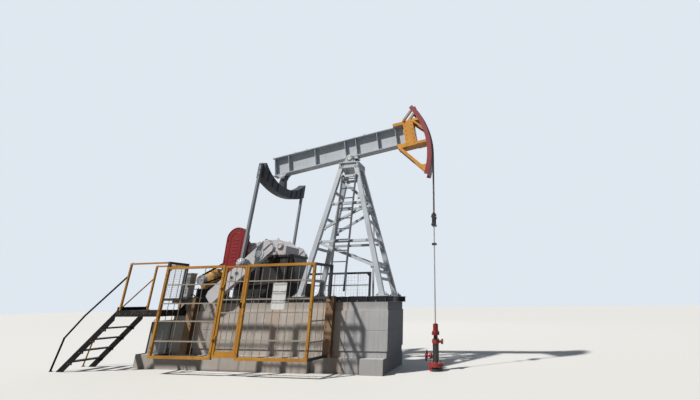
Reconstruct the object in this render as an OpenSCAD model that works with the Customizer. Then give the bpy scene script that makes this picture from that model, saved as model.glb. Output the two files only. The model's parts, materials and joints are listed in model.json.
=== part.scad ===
// Beam pumping unit on a raised concrete foundation, with its guard fence,
// access platform, hanger and wellhead. X runs along the beam towards the well,
// Y runs away from the viewer and Z is up. The origin is on the ground, straight
// below the saddle pivot.

/* [Foundation] */
// Height of the base slabs
slab_h = 340; // [250:10:450]
// Half width of the base slabs
slab_half_y = 820; // [800:10:900]
// Rear end of the base slabs, behind the saddle pivot
slab_rear = 5420; // [5380:10:5800]
// Front end of the base slabs
slab_front = 1420; // [1300:10:1460]
// Length of the front slab
front_slab_len = 565; // [400:5:700]
// Length of the middle slab, which is set back
middle_slab_len = 1300; // [900:10:1500]
// How far the middle slab is set back
middle_slab_setback = 120; // [50:5:135]
// Joint between two slabs
slab_joint = 12; // [5:1:20]
// Top of the concrete
concrete_top = 1590; // [1500:10:1620]
// Half width of the concrete wall
wall_half_y = 680; // [670:5:700]
// Rear end of the wall, behind the saddle pivot
wall_rear = 3870; // [3800:10:3930]
// Front end of the wall
wall_front = 1470; // [1430:10:1500]
// Height of the recessed cap course
cap_h = 190; // [120:10:260]
// Depth of the recess round the cap course
cap_recess = 22; // [10:1:40]
// Height of the recessed plinth course
plinth_h = 150; // [100:10:220]
// Length of the rear pillar
pillar_len = 550; // [400:10:600]
// Gap between the rear pillar and the wall
pillar_gap = 180; // [170:5:260]
// Height of the rear block above the slab
rear_block_h = 790; // [600:10:900]
// Length of the rear block
rear_block_len = 700; // [500:10:760]

/* [Skid] */
// Height of the skid's rolled sections
skid_h = 140; // [120:5:200]
// Flange width of the skid rails
skid_flange = 140; // [100:5:160]
// Flange and web thickness of the skid sections
skid_plate = 12; // [8:1:16]
// Distance from the centre to a rail's centre line
skid_rail_y = 555; // [520:5:590]
// Rear end of the skid
skid_rear = 4900; // [4850:10:5000]
// Front end of the skid
skid_front = 1560; // [1530:10:1760]

/* [Tower] */
// Height of the saddle pivot
pivot_z = 5700; // [5500:10:5900]
// Height from the tower's head to the saddle pivot
bearing_rise = 130; // [125:1:160]
// Height of the tower's head
tower_head_h = 190; // [150:5:240]
// Rear foot of the tower, behind the pivot
foot_rear = 1000; // [900:10:1100]
// Front foot of the tower, ahead of the pivot
foot_front = 1270; // [1150:10:1350]
// Distance from the centre to a foot
foot_y = 553; // [530:5:570]
// Rear leg at the top plate, behind the pivot
head_rear = 260; // [200:10:320]
// Front leg at the top plate, ahead of the pivot
head_front = 230; // [180:10:300]
// Distance from the centre to a leg at the top plate
head_y = 220; // [200:5:260]
// Width of a tower leg
leg_w = 125; // [100:5:160]
// Depth of a tower leg
leg_d = 105; // [80:5:130]
// Width of the tower's bracing bars
brace_w = 70; // [50:5:90]
// Thickness of the tower's bracing bars
brace_t = 50; // [30:5:70]
// Foot plate length and width
foot_plate = 320; // [280:10:360]
// Ladder width
ladder_w = 420; // [350:10:440]
// Size of the ladder's stiles
stile_w = 40; // [30:2:50]
// Ladder's centre ahead of the pivot
ladder_x = 50; // [0:10:80]
// Ladder rung spacing
rung_pitch = 300; // [250:10:350]

/* [Beam and head] */
// Upward tilt of the beam as it stands
beam_tilt = 9.3; // [5:0.1:12]
// Underside of the beam above the pivot
beam_rise = 90; // [85:1:140]
// Depth of the beam
beam_h = 630; // [500:10:700]
// Flange width of the beam
beam_flange = 240; // [200:5:280]
// Flange thickness of the beam
flange_t = 25; // [15:1:35]
// Web thickness of the beam
web_t = 16; // [10:1:24]
// Tail end of the beam
beam_tail = 2620; // [2500:10:2700]
// Front end of the beam
beam_front = 1700; // [1650:10:1735]
// Radius of the rope round the head, from the saddle pivot
arc_r = 2500; // [2440:10:2600]
// Angle of the head's arc above the beam's line
arc_up = 31; // [29:0.5:33]
// Angle of the head's arc below the beam's line
arc_down = 25.5; // [25:0.5:27]
// Width of the head's arc plate
arc_w = 380; // [320:10:420]
// Depth of the arc's side rims
rim_depth = 115; // [100:5:130]
// Plate thickness of the arc and its rims
arc_plate = 14; // [10:1:20]
// Length of the head's box along the beam
box_len = 320; // [260:5:340]
// Height of the head's box
box_h = 860; // [800:10:900]
// Width of the head's box
box_w = 300; // [240:10:310]
// Size of the head's frame bars
head_bar = 80; // [60:5:100]
// Radius of the saddle shaft
saddle_r = 55; // [45:1:65]
// Radius of the saddle bearing's cap
saddle_cap_r = 108; // [90:1:120]
// Radial running clearance at the bearings
run_gap = 0.05; // [0.02:0.01:0.1]

/* [Crank and pitman] */
// Distance from the saddle pivot to the tail bearing
tail_arm = 2320; // [2250:10:2380]
// Radius of the tail pin
tail_pin_r = 40; // [30:1:50]
// Radius of the tail bearing's housing
tail_hub_r = 78; // [60:1:82]
// Crank shaft behind the saddle pivot
shaft_x = 2130; // [2100:10:2200]
// Height of the crank shaft
shaft_z = 2850; // [2780:10:2920]
// Radius of the crank shaft
shaft_r = 90; // [70:1:110]
// Direction of the cranks as they stand, down from the rear horizontal
crank_angle = 40.6; // [0:0.1:80]
// Radius of the wrist pin in use
wrist_radius = 400; // [380:5:430]
// Radius of the crank's free wrist holes, the nearer one
free_hole_1 = 770; // [700:10:800]
// Radius of the crank's free wrist holes, the farther one
free_hole_2 = 940; // [900:10:1000]
// Reach of a crank from its shaft to its tip
crank_reach = 1770; // [1600:10:1800]
// Width of a crank
crank_w = 390; // [340:10:420]
// Thickness of a crank
crank_t = 140; // [100:5:160]
// Inner face of a crank
crank_y = 740; // [735:1:760]
// Half length of the equalizer
equalizer_half = 1060; // [1050:5:1090]
// Width of the equalizer along the beam
equalizer_w = 240; // [180:10:280]
// Width of a pitman
pitman_w = 60; // [50:5:100]
// Thickness of a pitman
pitman_t = 85; // [60:5:120]

/* [Drive] */
// Half width of the gearbox
gearbox_half_y = 330; // [280:10:360]
// Height of the gearbox above the crank shaft
gearbox_rise = 460; // [400:10:500]
// Gearbox input shaft behind the crank shaft
input_back = 870; // [800:10:900]
// Gearbox input shaft above the crank shaft
input_up = 150; // [100:10:200]
// Height of the gearbox stand
stand_h = 370; // [300:10:420]
// Half width of the belt guard's outline
guard_r = 320; // [260:5:330]
// Distance between the centres of the belt guard's round ends
guard_centres = 740; // [640:10:780]
// Thickness of the belt guard
guard_t = 130; // [100:5:140]
// Motor shaft behind the crank shaft
motor_back = 1990; // [1950:10:2020]
// Motor shaft above the skid
motor_rise = 500; // [450:10:560]
// Radius of the motor
motor_r = 260; // [200:10:280]
// Length of the motor
motor_len = 620; // [500:10:700]
// Depth of the control box
control_depth = 140; // [100:5:300]
// Width of the control box
control_w = 200; // [150:10:500]

/* [Rope and rod] */
// Rope diameter
rope_d = 28; // [20:1:36]
// Distance between the two rope strands
rope_gap = 120; // [100:5:160]
// Underside of the carrier bar
carrier_z = 3550; // [3400:10:3700]
// Height of the carrier bar
carrier_h = 270; // [200:10:320]
// Radius of the polished rod
rod_r = 16; // [12:1:20]
// Lower end of the polished rod
rod_bottom = 860; // [855:1:870]
// Top of the stuffing box
stuffing_top = 1050; // [1050:5:1100]

/* [Guard fence] */
// Distance from the centre to the guard's long panels
fence_y = 1500; // [1450:10:1600]
// Rear end of the guard
fence_rear = 4220; // [4180:10:4260]
// Outer column of the guard's rear end, behind the saddle pivot
column_rear = 3990; // [3960:5:4050]
// Reach of the rear side panels from the long panels
side_reach = 560; // [400:10:640]
// Front end of the guard
fence_front = 110; // [80:10:150]
// Underside of the guard
fence_bottom = 360; // [345:5:420]
// Top of the guard
fence_top = 2500; // [2400:10:2600]
// Rear gate post, behind the pivot
gate_rear = 2550; // [2500:10:2600]
// Front gate post, behind the pivot
gate_front = 1860; // [1800:10:1900]
// Size of the guard's posts and rails
post_w = 60; // [40:5:70]
// Diameter of the guard's thin rods
rod_d = 14; // [10:1:20]
// Spacing of the thin upright rods
rod_pitch = 200; // [160:10:240]
// Front end of the far guard, ahead of the pivot
far_front = 150; // [100:10:180]
// Running gap round the gate leaf
gate_gap = 14; // [8:1:20]
// Radius of the gate's hinge pins
hinge_r = 9; // [7:0.5:12]

/* [Platform and stair] */
// Top of the platform's deck
deck_z = 1445; // [1400:5:1480]
// Depth of the deck's edge beams
deck_h = 150; // [100:10:180]
// Rear end of the platform
deck_rear = 5540; // [5480:10:5600]
// Far edge of the stair
stair_far = 750; // [720:10:800]
// Rear end of the stair, on the ground
stair_rear = 6900; // [6800:10:7000]
// Height of the lowest tread
tread_first = 250; // [220:5:280]
// Rise of a tread
tread_rise = 262; // [240:2:280]
// Number of treads
tread_n = 4; // [3:1:4]
// Diameter of the handrails
rail_d = 42; // [30:1:50]
// Height of the handrail above the deck
rail_h = 1190; // [1000:10:1220]

/* [Hidden] */
$fn = 48;

concrete = [0.66, 0.64, 0.60];
pale = [0.80, 0.82, 0.84];
steel_grey = [0.62, 0.65, 0.68];
dark = [0.22, 0.23, 0.26];
black = [0.12, 0.12, 0.13];
yellow = [0.90, 0.58, 0.12];
red = [0.52, 0.11, 0.10];
rust = [0.36, 0.24, 0.17];
white = [0.90, 0.90, 0.88];
eps = 1;

skid_top = concrete_top + skid_h;
tower_top = pivot_z - bearing_rise - tower_head_h;
tower_h = tower_top - skid_top;
lean = atan((foot_y - head_y) / tower_h);
foot_plate_t = 20;
front_slab_x = slab_front - front_slab_len;
middle_slab_x = front_slab_x - middle_slab_len;
pillar_x = -wall_rear - pillar_gap - pillar_len;
rear_block_x = pillar_x - rear_block_len - slab_joint;

// Places on the tilted beam
function beam_x(u, w) = u * cos(beam_tilt) - w * sin(beam_tilt);
function beam_z(u, w) = pivot_z + u * sin(beam_tilt) + w * cos(beam_tilt);
tail = [beam_x(-tail_arm, 0), beam_z(-tail_arm, 0)];
wrist = [
    -shaft_x - wrist_radius * cos(crank_angle),
    shaft_z - wrist_radius * sin(crank_angle)
];
pitman_len = norm(tail - wrist);
pitman_lean = atan((tail[0] - wrist[0]) / (tail[1] - wrist[1]));
box_u = beam_front + 40;
box_w0 = beam_rise - 130;
arc_outer = arc_r - rope_d / 2 - 0.3;
arc_inner = arc_outer - arc_plate;
crank_outer = crank_y + crank_t;
pin_end = crank_outer + 50;
bearing_in = pin_end + 10;
input_x = -shaft_x - input_back;
input_z = shaft_z + input_up;
gearbox_base = skid_top + stand_h;
guard_x = input_x - 160;
guard_z = input_z - 380;
guard_y = gearbox_half_y + 100;
motor_x = -shaft_x - motor_back;
motor_z = skid_top + motor_rise;
rung_n = floor((tower_h - 180) / rung_pitch);
well_bore = 30;
hanger_seat = 330;
column_y = slab_half_y;
column_w = 200;
column_front = 0;
side_top = deck_z + rail_h;

// Helpers
module on_beam() {
    translate([0, 0, pivot_z])
        rotate([0, -beam_tilt, 0])
            children();
}

module on_pitman() {
    translate([tail[0], 0, tail[1]])
        rotate([0, pitman_lean, 0])
            children();
}

module on_crank() {
    translate([-shaft_x, 0, shaft_z])
        rotate([0, 180 - crank_angle, 0])
            children();
}

// Cylinder along Y between two places
module y_cylinder(r, y0, y1) {
    translate([0, y0, 0])
        rotate([-90, 0, 0])
            cylinder(r = r, h = y1 - y0);
}

// Box from one corner to the opposite one
module block(low, high) {
    translate(low)
        cube(high - low);
}

// Flat outline in X and Z, carried from y0 to y1
module slice(y0, y1) {
    translate([0, y1, 0])
        rotate([90, 0, 0])
            linear_extrude(y1 - y0)
                children();
}

// Square bar between two points
module bar(p, q, w, d) {
    v = q - p;
    length = norm(v);
    translate(p)
        rotate([0, acos(v[2] / length), atan2(v[1], v[0])])
            translate([-w / 2, -d / 2, 0])
                cube([w, d, length]);
}

// Round bar between two points
module round_bar(p, q, d) {
    v = q - p;
    length = norm(v);
    translate(p)
        rotate([0, acos(v[2] / length), atan2(v[1], v[0])])
            cylinder(d = d, h = length, $fn = 24);
}

module mirror_y() {
    children();
    mirror([0, 1, 0])
        children();
}

// Flat strip between two places of an outline
module strip(p, q, w) {
    v = q - p;
    translate(p)
        rotate(atan2(v[1], v[0]))
            translate([0, -w / 2])
                square([norm(v), w]);
}

// Rolled I section along X
module i_beam(length, h, flange, plate, web) {
    translate([0, -flange / 2, 0])
        cube([length, flange, plate]);
    translate([0, -flange / 2, h - plate])
        cube([length, flange, plate]);
    translate([0, -web / 2, 0])
        cube([length, web, h]);
}

// Foundation
module base_slabs() {
    middle_y = slab_half_y - middle_slab_setback;
    color(concrete) {
        block([-slab_rear, -slab_half_y, 0], [middle_slab_x - slab_joint, slab_half_y, slab_h]);
        block([middle_slab_x, -middle_y, 0], [front_slab_x - slab_joint, middle_y, slab_h]);
        block([front_slab_x, -slab_half_y, 0], [slab_front, slab_half_y, slab_h]);
    }
}

// One stacked column of concrete with a recessed plinth and cap
module concrete_stack(x0, x1, top) {
    r = cap_recess;
    y = wall_half_y;
    block([x0 + r, r - y, slab_h], [x1 - r, y - r, top]);
    block([x0, -y, slab_h + plinth_h], [x1, y, top - cap_h]);
}

module foundation() {
    color(concrete) {
        concrete_stack(-wall_rear, wall_front, concrete_top);
        concrete_stack(pillar_x, pillar_x + pillar_len, concrete_top);
    }
}

module rear_block() {
    color(steel_grey)
        block([rear_block_x, cap_recess - wall_half_y, slab_h],
            [pillar_x - slab_joint, wall_half_y - cap_recess, slab_h + rear_block_h]);
}

// Skid
module skid_rails() {
    color(dark)
        mirror_y()
            translate([-skid_rear, skid_rail_y, concrete_top])
                i_beam(skid_rear + skid_front, skid_h, skid_flange, skid_plate, skid_plate);
}

module skid_cross_beams() {
    places = [for (i = [0:5]) -skid_rear + 150 + i * (skid_rear + skid_front - 300) / 5];
    half = skid_rail_y - skid_flange / 2;
    color(dark)
        for (x = places)
            translate([x, -half, concrete_top])
                rotate([0, 0, 90])
                    i_beam(2 * half, skid_h, skid_flange, skid_plate, skid_plate);
}

// Tower
// Leg centre lines at a height above the skid
function rear_leg_x(h) = -foot_rear + (foot_rear - head_rear) * h / tower_h;
function front_leg_x(h) = foot_front - (foot_front - head_front) * h / tower_h;
function leg_y(h) = foot_y - (foot_y - head_y) * h / tower_h;

module side_legs() {
    reach = 40;
    strip([rear_leg_x(-reach), -reach], [rear_leg_x(tower_h + reach), tower_h + reach], leg_w);
    strip([front_leg_x(-reach), -reach], [front_leg_x(tower_h + reach), tower_h + reach], leg_w);
}

// Heights of the level bars in the plane of one side
level_bars = [0.395, 0.695, 0.93] * tower_h;
// Slanting bars of one side, each with its rear height and its front height
slant_bars = [[0.395, 0.20], [0.49, 0.66], [0.92, 0.73]] * tower_h;

module side_bracing() {
    for (h = level_bars)
        strip([rear_leg_x(h), h], [front_leg_x(h), h], brace_w);
    for (b = slant_bars)
        strip([rear_leg_x(b[0]), b[0]], [front_leg_x(b[1]), b[1]], brace_w);
}

// The plane of the near side, leaning in towards the top
module side_in_place() {
    translate([0, -foot_y, skid_top])
        rotate([90 - lean, 0, 0])
            scale([1, 1 / cos(lean), 1])
                children();
}

module near_legs() {
    intersection() {
        side_in_place()
            linear_extrude(leg_d, center = true)
                side_legs();
        block([-2 * foot_rear, -2 * foot_y, skid_top + foot_plate_t], [2 * foot_front, 0, tower_top]);
    }
}

module tower_legs() {
    color(pale)
        mirror_y() {
            near_legs();
            for (x = [-foot_rear, foot_front])
                translate([x - foot_plate / 2, -foot_y - foot_plate / 4, skid_top])
                    cube([foot_plate, foot_plate / 2, foot_plate_t]);
        }
}

module tower_side_bars() {
    upright_x = 620;
    color(pale) {
        mirror_y()
            difference() {
                side_in_place()
                    linear_extrude(brace_t, center = true)
                        side_bracing();
                near_legs();
            }
        mirror([0, 1, 0])
            difference() {
                side_in_place()
                    linear_extrude(brace_t / 2, center = true)
                        strip([upright_x, 0], [upright_x, 0.56 * tower_h], brace_t);
                near_legs();
                block([0, -2 * foot_y, 0], [foot_front, 0, skid_top]);
            }
    }
}

module cross_bars(heights, face) {
    difference() {
        union()
            for (h = heights) {
                x = face > 0 ? front_leg_x(h) : rear_leg_x(h);
                translate([x, 0, skid_top + h])
                    cube([brace_t, 2 * leg_y(h), brace_w], center = true);
            }
        mirror_y()
            near_legs();
    }
}

// Bars between the two sides, at the front and rear legs
front_bars = [0.12, 0.17, 0.23, 0.41, 0.55, 0.66, 0.76, 0.86] * tower_h;
rear_bars = [0.12, 0.35, 0.58, 0.80] * tower_h;

module tower_cross_bars() {
    color(pale) {
        cross_bars(front_bars, 1);
        cross_bars(rear_bars, -1);
    }
}

module tower_head() {
    margin = leg_w / 2;
    low = [-head_rear - margin, -head_y - leg_d / 2, tower_top];
    high = [head_front + margin, head_y + leg_d / 2, tower_top + tower_head_h];
    recess = 30;
    color(pale)
        difference() {
            block(low, high);
            mirror_y()
                block([low[0] + margin, low[1] - eps, low[2] + recess],
                    [high[0] - margin, low[1] + recess, high[2] - recess]);
        }
}

module ladder() {
    stile = stile_w;
    out = leg_d / 2;
    h0 = 120;
    h1 = h0 + rung_n * rung_pitch;
    color(pale)
        side_in_place()
            translate([ladder_x, 0, out])
                linear_extrude(stile) {
                    for (x = [-ladder_w / 2, ladder_w / 2])
                        strip([x, h0], [x, h1], stile);
                    for (i = [0:rung_n - 1])
                        strip([-ladder_w / 2, h0 + (i + 0.5) * rung_pitch],
                            [ladder_w / 2, h0 + (i + 0.5) * rung_pitch], stile / 2);
                }
    color(pale)
        difference() {
            side_in_place()
                translate([ladder_x, 0, brace_t / 2])
                    linear_extrude(out - brace_t / 2)
                        for (x = [-ladder_w / 2, ladder_w / 2], h = level_bars)
                            translate([x, h])
                                square([stile, stile], center = true);
            near_legs();
        }
}

module saddle_bearings() {
    half = 190;
    seat = pivot_z - bearing_rise;
    foot = 28;
    y0 = 140;
    y1 = 260;
    color(pale)
        mirror_y()
            difference() {
                union() {
                    translate([0, 0, pivot_z])
                        y_cylinder(saddle_cap_r, y0, y1);
                    block([-half, y0, seat], [half, y1, seat + foot]);
                    block([-saddle_cap_r, y0, seat], [saddle_cap_r, y1, pivot_z]);
                }
                translate([0, 0, pivot_z])
                    y_cylinder(saddle_r + run_gap, y0 - eps, y1 + eps);
            }
}

// Drive
module gearbox_stand() {
    plate = 30;
    x0 = input_x - 150;
    x1 = -shaft_x + 1000;
    y = gearbox_half_y + 60;
    color(dark) {
        block([x0, -y, skid_top], [x1, y, skid_top + plate]);
        block([x0, -y, gearbox_base - plate], [x1, y, gearbox_base]);
        mirror_y()
            block([x0 + 40, y - 90, skid_top + plate], [x1 - 40, y - 60, gearbox_base - plate]);
        for (i = [0:3])
            translate([x0 + 40 + i * (x1 - x0 - 110) / 3, -y + 60, skid_top + plate])
                cube([30, 2 * y - 120, stand_h - 2 * plate]);
    }
}

module gearbox() {
    y = gearbox_half_y;
    flange_y = y + 35;
    cap_r = 200;
    housing_front = 430;
    color(steel_grey)
        difference() {
            union() {
                slice(-y, y)
                    translate([-shaft_x, 0])
                        polygon([
                            [housing_front, shaft_z], [housing_front, shaft_z + 0.6 * gearbox_rise],
                            [housing_front - 260, shaft_z + gearbox_rise], [-210, shaft_z + gearbox_rise],
                            [-480, shaft_z + 400], [-input_back - 110, shaft_z + 400],
                            [-input_back - 260, shaft_z + 260], [-input_back - 260, gearbox_base + 330],
                            [-input_back - 100, gearbox_base], [800, gearbox_base],
                            [800, gearbox_base + 330], [700, shaft_z]
                        ]);
                mirror_y()
                    translate([housing_front - 200 - shaft_x, 0, shaft_z + 0.62 * gearbox_rise])
                        y_cylinder(95, 0, y + 25);
                block([input_x - 130, -flange_y, shaft_z - 25], [-shaft_x + 730, flange_y, shaft_z + 25]);
                translate([-shaft_x, 0, shaft_z])
                    y_cylinder(cap_r, -y - 70, y + 70);
                translate([input_x, 0, input_z])
                    y_cylinder(80, -guard_y, 0);
            }
            translate([-shaft_x, 0, shaft_z])
                y_cylinder(shaft_r + run_gap, -y - 80, y + 80);
        }
}

module obround(r, centres) {
    circle(r);
    translate([-r, 0])
        square([2 * r, centres]);
    translate([0, centres])
        circle(r);
}

module belt_guard() {
    rim = 30;
    color(red)
        translate([guard_x, 0, guard_z]) {
            slice(-guard_y - guard_t, -guard_y)
                obround(guard_r - rim, guard_centres);
            slice(-guard_y - guard_t, -guard_y - guard_t + rim)
                difference() {
                    obround(guard_r, guard_centres);
                    obround(guard_r - rim, guard_centres);
                }
            slice(-guard_y - rim, -guard_y)
                difference() {
                    obround(guard_r, guard_centres);
                    obround(guard_r - rim, guard_centres);
                }
        }
}

module motor_stand() {
    w = motor_r + 120;
    y = motor_len / 2;
    base_y = skid_rail_y + skid_flange / 2;
    color(dark) {
        block([motor_x - w, -base_y, skid_top], [motor_x + w, base_y, skid_top + 25]);
        for (s = [-1, 1])
            block([motor_x + s * (w - 110) - 20, -y, skid_top + 25],
                [motor_x + s * (w - 110) + 20, y, motor_z - motor_r + 10]);
        block([motor_x - w, -y, motor_z - motor_r + 10], [motor_x + w, y, motor_z - motor_r + 30]);
    }
}

module motor() {
    y = motor_len / 2;
    fins = 24;
    seat = motor_z - motor_r + 30;
    color([0.62, 0.42, 0.16])
        intersection() {
            union() {
                translate([motor_x, 0, motor_z]) {
                    y_cylinder(motor_r - 25, -y, y);
                    for (i = [0:fins - 1])
                        rotate([0, i * 360 / fins, 0])
                            block([-8, 60 - y, 0], [8, y - 60, motor_r]);
                }
                block([motor_x - motor_r + 20, 80 - y, seat], [motor_x + motor_r - 20, y - 80, motor_z - 100]);
                block([motor_x - 90, -90, motor_z], [motor_x + 90, 90, motor_z + motor_r + 70]);
            }
            block([motor_x - 2 * motor_r, -y, seat], [motor_x + 2 * motor_r, y, motor_z + 2 * motor_r]);
        }
}

module control_box() {
    x0 = -skid_rear + 10;
    x1 = motor_x - motor_r - 150;
    y0 = -250;
    base_y = skid_rail_y + skid_flange / 2;
    color(steel_grey) {
        block([x0, -base_y, skid_top], [x1, base_y, skid_top + 20]);
        block([x0, y0, skid_top], [x0 + control_depth, y0 + control_w, skid_top + 720]);
        block([x0 - 15, y0 - 15, skid_top + 700], [x0 + control_depth + 15, y0 + control_w + 15, skid_top + 725]);
    }
}

// Guard fence
module guard_columns() {
    w = column_w;
    web = 14;
    depth = column_y - wall_half_y;
    color(rust)
        mirror_y()
            for (x = [-column_rear, column_front])
                translate([x - w / 2, -column_y, slab_h]) {
                    cube([w, web, skid_top - slab_h]);
                    translate([0, depth - web, 0])
                        cube([w, web, skid_top - slab_h]);
                    translate([w / 2 - web / 2, 0, 0])
                        cube([web, depth, skid_top - slab_h]);
                }
}

// One flat panel from x0 to x1, with rails at given heights and thin rods
module panel(x0, x1, rails, rods) {
    y = post_w / 2;
    block([x0 - y, -y, fence_bottom], [x0 + y, y, x0 == -fence_rear ? side_top : fence_top]);
    block([x1 - y, -y, fence_bottom], [x1 + y, y, fence_top]);
    for (z = [fence_bottom, fence_top - post_w])
        block([x0, -y, z], [x1, y, z + post_w]);
    for (z = rails)
        block([x0, -rod_d, z - rod_d], [x1, rod_d, z + rod_d]);
    if (rods > 0)
        for (i = [1:rods])
            translate([x0 + i * (x1 - x0) / (rods + 1), 0, fence_bottom])
                cylinder(d = rod_d, h = fence_top - fence_bottom, $fn = 8);
}

right_rails = [780, 1380, 1680, 2100];
left_rails = [740, 1190, 1600, 2050];

module fence_front() {
    rods = ceil((gate_front - fence_front) / rod_pitch) - 1;
    color(yellow) {
        translate([0, -fence_y, 0]) {
            panel(-fence_rear, -gate_rear, left_rails, 2);
            panel(-gate_front, -fence_front, right_rails, rods);
        }
        for (z = hinge_heights)
            hinge_pin(z);
    }
}

// A side panel runs from a long panel's end at x0 to x1, and reaches in to y1
module fence_side(x0, x1, y1, top) {
    y0 = -fence_y + post_w / 2;
    w = post_w / 2;
    k = (x1 - x0) / (y1 - y0);
    multmatrix([[1, k, 0, x0 - k * y0], [0, 1, 0, 0], [0, 0, 1, 0]]) {
        if (top > skid_top)
            block([-w, y1 - post_w, skid_top], [w, y1, top]);
        for (z = [fence_bottom, top - post_w])
            block([-w, y0, z], [w, y1, z + post_w]);
        block([-w / 2, y0, skid_top - 60], [w / 2, y1, skid_top]);
        for (z = left_rails)
            if (z < skid_top - 100)
                block([-rod_d, y0, z - rod_d], [rod_d, y1, z + rod_d]);
        for (i = [1:2])
            translate([0, y0 + i * (y1 - y0) / 3, fence_bottom])
                cylinder(d = rod_d, h = top - fence_bottom, $fn = 8);
    }
}

module fence_sides() {
    color(yellow) {
        fence_side(-fence_rear, -fence_rear, side_reach - fence_y, side_top);
        fence_side(-fence_front, column_front, -column_y, fence_top);
    }
}

// The far guard, whose front end is held by a low frame
module fence_back() {
    rods = ceil((fence_rear + far_front) / rod_pitch / 2) - 1;
    color(dark) {
        translate([0, fence_y, 0])
            panel(-fence_rear, far_front, right_rails, rods);
        mirror([0, 1, 0]) {
            fence_side(-fence_rear, -fence_rear, side_reach - fence_y, side_top);
            fence_side(far_front, column_front, -column_y, skid_top);
        }
    }
}

hinge_x = -gate_rear + post_w / 2 + gate_gap / 2;
hinge_y = -fence_y - post_w / 2 - 18;
hinge_heights = [fence_bottom + 440, fence_top - 540];

module hinge_pin(z) {
    translate([hinge_x, hinge_y, z])
        cylinder(r = hinge_r, h = 90);
    block([-gate_rear - 20, hinge_y - 12, z - 14], [hinge_x + 12, -fence_y - post_w / 2, z]);
}

module gate_leaf() {
    x0 = -gate_rear + post_w / 2 + gate_gap;
    x1 = -gate_front - post_w / 2 - gate_gap;
    t = 20;
    frame = 50;
    z0 = fence_bottom + 50;
    z1 = fence_top - 20;
    color(yellow) {
        translate([0, -fence_y, 0]) {
            for (x = [x0, x1 - frame])
                block([x, -t, z0], [x + frame, t, z1]);
            for (z = [z0, z1 - frame])
                block([x0, -t, z], [x1, t, z + frame]);
            block([x0, -t / 2, z0], [x1, t / 2, z0 + 130]);
            for (z = right_rails)
                block([x0, -rod_d, z - rod_d], [x1, rod_d, z + rod_d]);
            for (i = [1:3])
                translate([x0 + i * (x1 - x0) / 4, 0, z0])
                    cylinder(d = rod_d, h = z1 - z0, $fn = 8);
        }
        for (z = hinge_heights)
            difference() {
                union() {
                    translate([hinge_x, hinge_y, z + 1])
                        cylinder(r = hinge_r + 7, h = 70);
                    block([hinge_x, hinge_y - 6, z + 1], [x0 + frame, hinge_y + 6, z + 71]);
                    block([x0 + 14, hinge_y, z + 1], [x0 + frame, -fence_y - t, z + 71]);
                }
                translate([hinge_x, hinge_y, z])
                    cylinder(r = hinge_r + run_gap, h = 80);
            }
    }
}

module sign_plates() {
    x0 = -fence_front - 1010;
    y = -fence_y - post_w / 2;
    color(white)
        for (i = [0:2])
            block([x0, y - 4, 1440 + i * 205], [x0 + 360, y, 1635 + i * 205]);
    color(yellow)
        block([x0 + 160, y, 1460], [x0 + 200, -fence_y - rod_d, 2025]);
}

// Platform and stair
module platform_deck() {
    x1 = -fence_rear - post_w / 2;
    edge = 12;
    color(black) {
        block([-deck_rear, -fence_y, deck_z - 8], [x1, -wall_half_y, deck_z]);
        for (y = [-fence_y, -wall_half_y - edge])
            block([-deck_rear, y, deck_z - deck_h], [x1, y + edge, deck_z - 8]);
        for (i = [0:3])
            translate([-deck_rear + i * (x1 + deck_rear - edge) / 3, -fence_y, deck_z - deck_h])
                cube([edge, fence_y - wall_half_y, deck_h - 8]);
    }
}

post_x = -deck_rear + 60;

// Sloping handrail down to the ground, ending at x1
module rail_line(y, x1, d) {
    top = [x1 - 0.3, y, deck_z + 850];
    knee = [-6540, y, 1320];
    low = [-7000, y, 780];
    foot = [-7140, y, 0];
    difference() {
        union() {
            round_bar(top, knee, d);
            round_bar(knee, low, d);
            round_bar(low, foot, d);
            for (p = [knee, low])
                translate(p)
                    sphere(d = d + 4, $fn = 24);
        }
        block([x1, -2 * fence_y, deck_z], [0, 0, deck_z + rail_h]);
        block([-2 * stair_rear, -2 * fence_y, -rail_h], [0, 0, 0]);
    }
}

module platform_rails() {
    y0 = -fence_y + rail_d / 2;
    x0 = -fence_rear - post_w / 2;
    y1 = -stair_far;
    x1 = pillar_x + 200;
    half = rail_d / 2;
    color(yellow) {
        block([post_x, y0 - half, deck_z], [post_x + 40, y0 + half, deck_z + rail_h]);
        block([post_x, y0 - half, deck_z + rail_h - 40], [x0, y0 + half, deck_z + rail_h]);
        block([post_x, y1 - half, deck_z], [post_x + 40, y1 + half, deck_z + rail_h]);
        block([post_x, y1 - half, deck_z + rail_h - 40], [x1, y1 + half, deck_z + rail_h]);
        block([x1 - 40, y1 - half, deck_z], [x1, y1 + half, deck_z + rail_h]);
        rail_line(y1, post_x + 20, rail_d - 8);
    }
}

stair_slope = atan((deck_z - deck_h / 2) / (stair_rear - deck_rear));

module stringer() {
    depth = 160;
    intersection() {
        slice(0, 12)
            strip([-stair_rear - 100, -depth / 2 - 100 * tan(stair_slope)],
                [-deck_rear + 200, deck_z - depth / 2 + 200 * tan(stair_slope) - 40], depth);
        block([-stair_rear - 100, -1, 0], [-deck_rear, 20, deck_z]);
    }
}

module stair_stringers() {
    color(black)
        for (y = [-fence_y, -stair_far - 12])
            translate([0, y, 0])
                stringer();
}

module stair_treads() {
    depth = 190;
    color(black)
        for (i = [0:tread_n - 1]) {
            z = tread_first + i * tread_rise;
            x = -stair_rear - 30 + z / tan(stair_slope);
            block([x, -fence_y + 12, z - 30], [x + depth, -stair_far - 12, z]);
        }
}

module stair_handrail() {
    color(black)
        rail_line(-fence_y + rail_d / 2, post_x, rail_d);
}

// Wellhead
valve_z = 330;
stem_r = 14;
wheel_r = 130;

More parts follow.
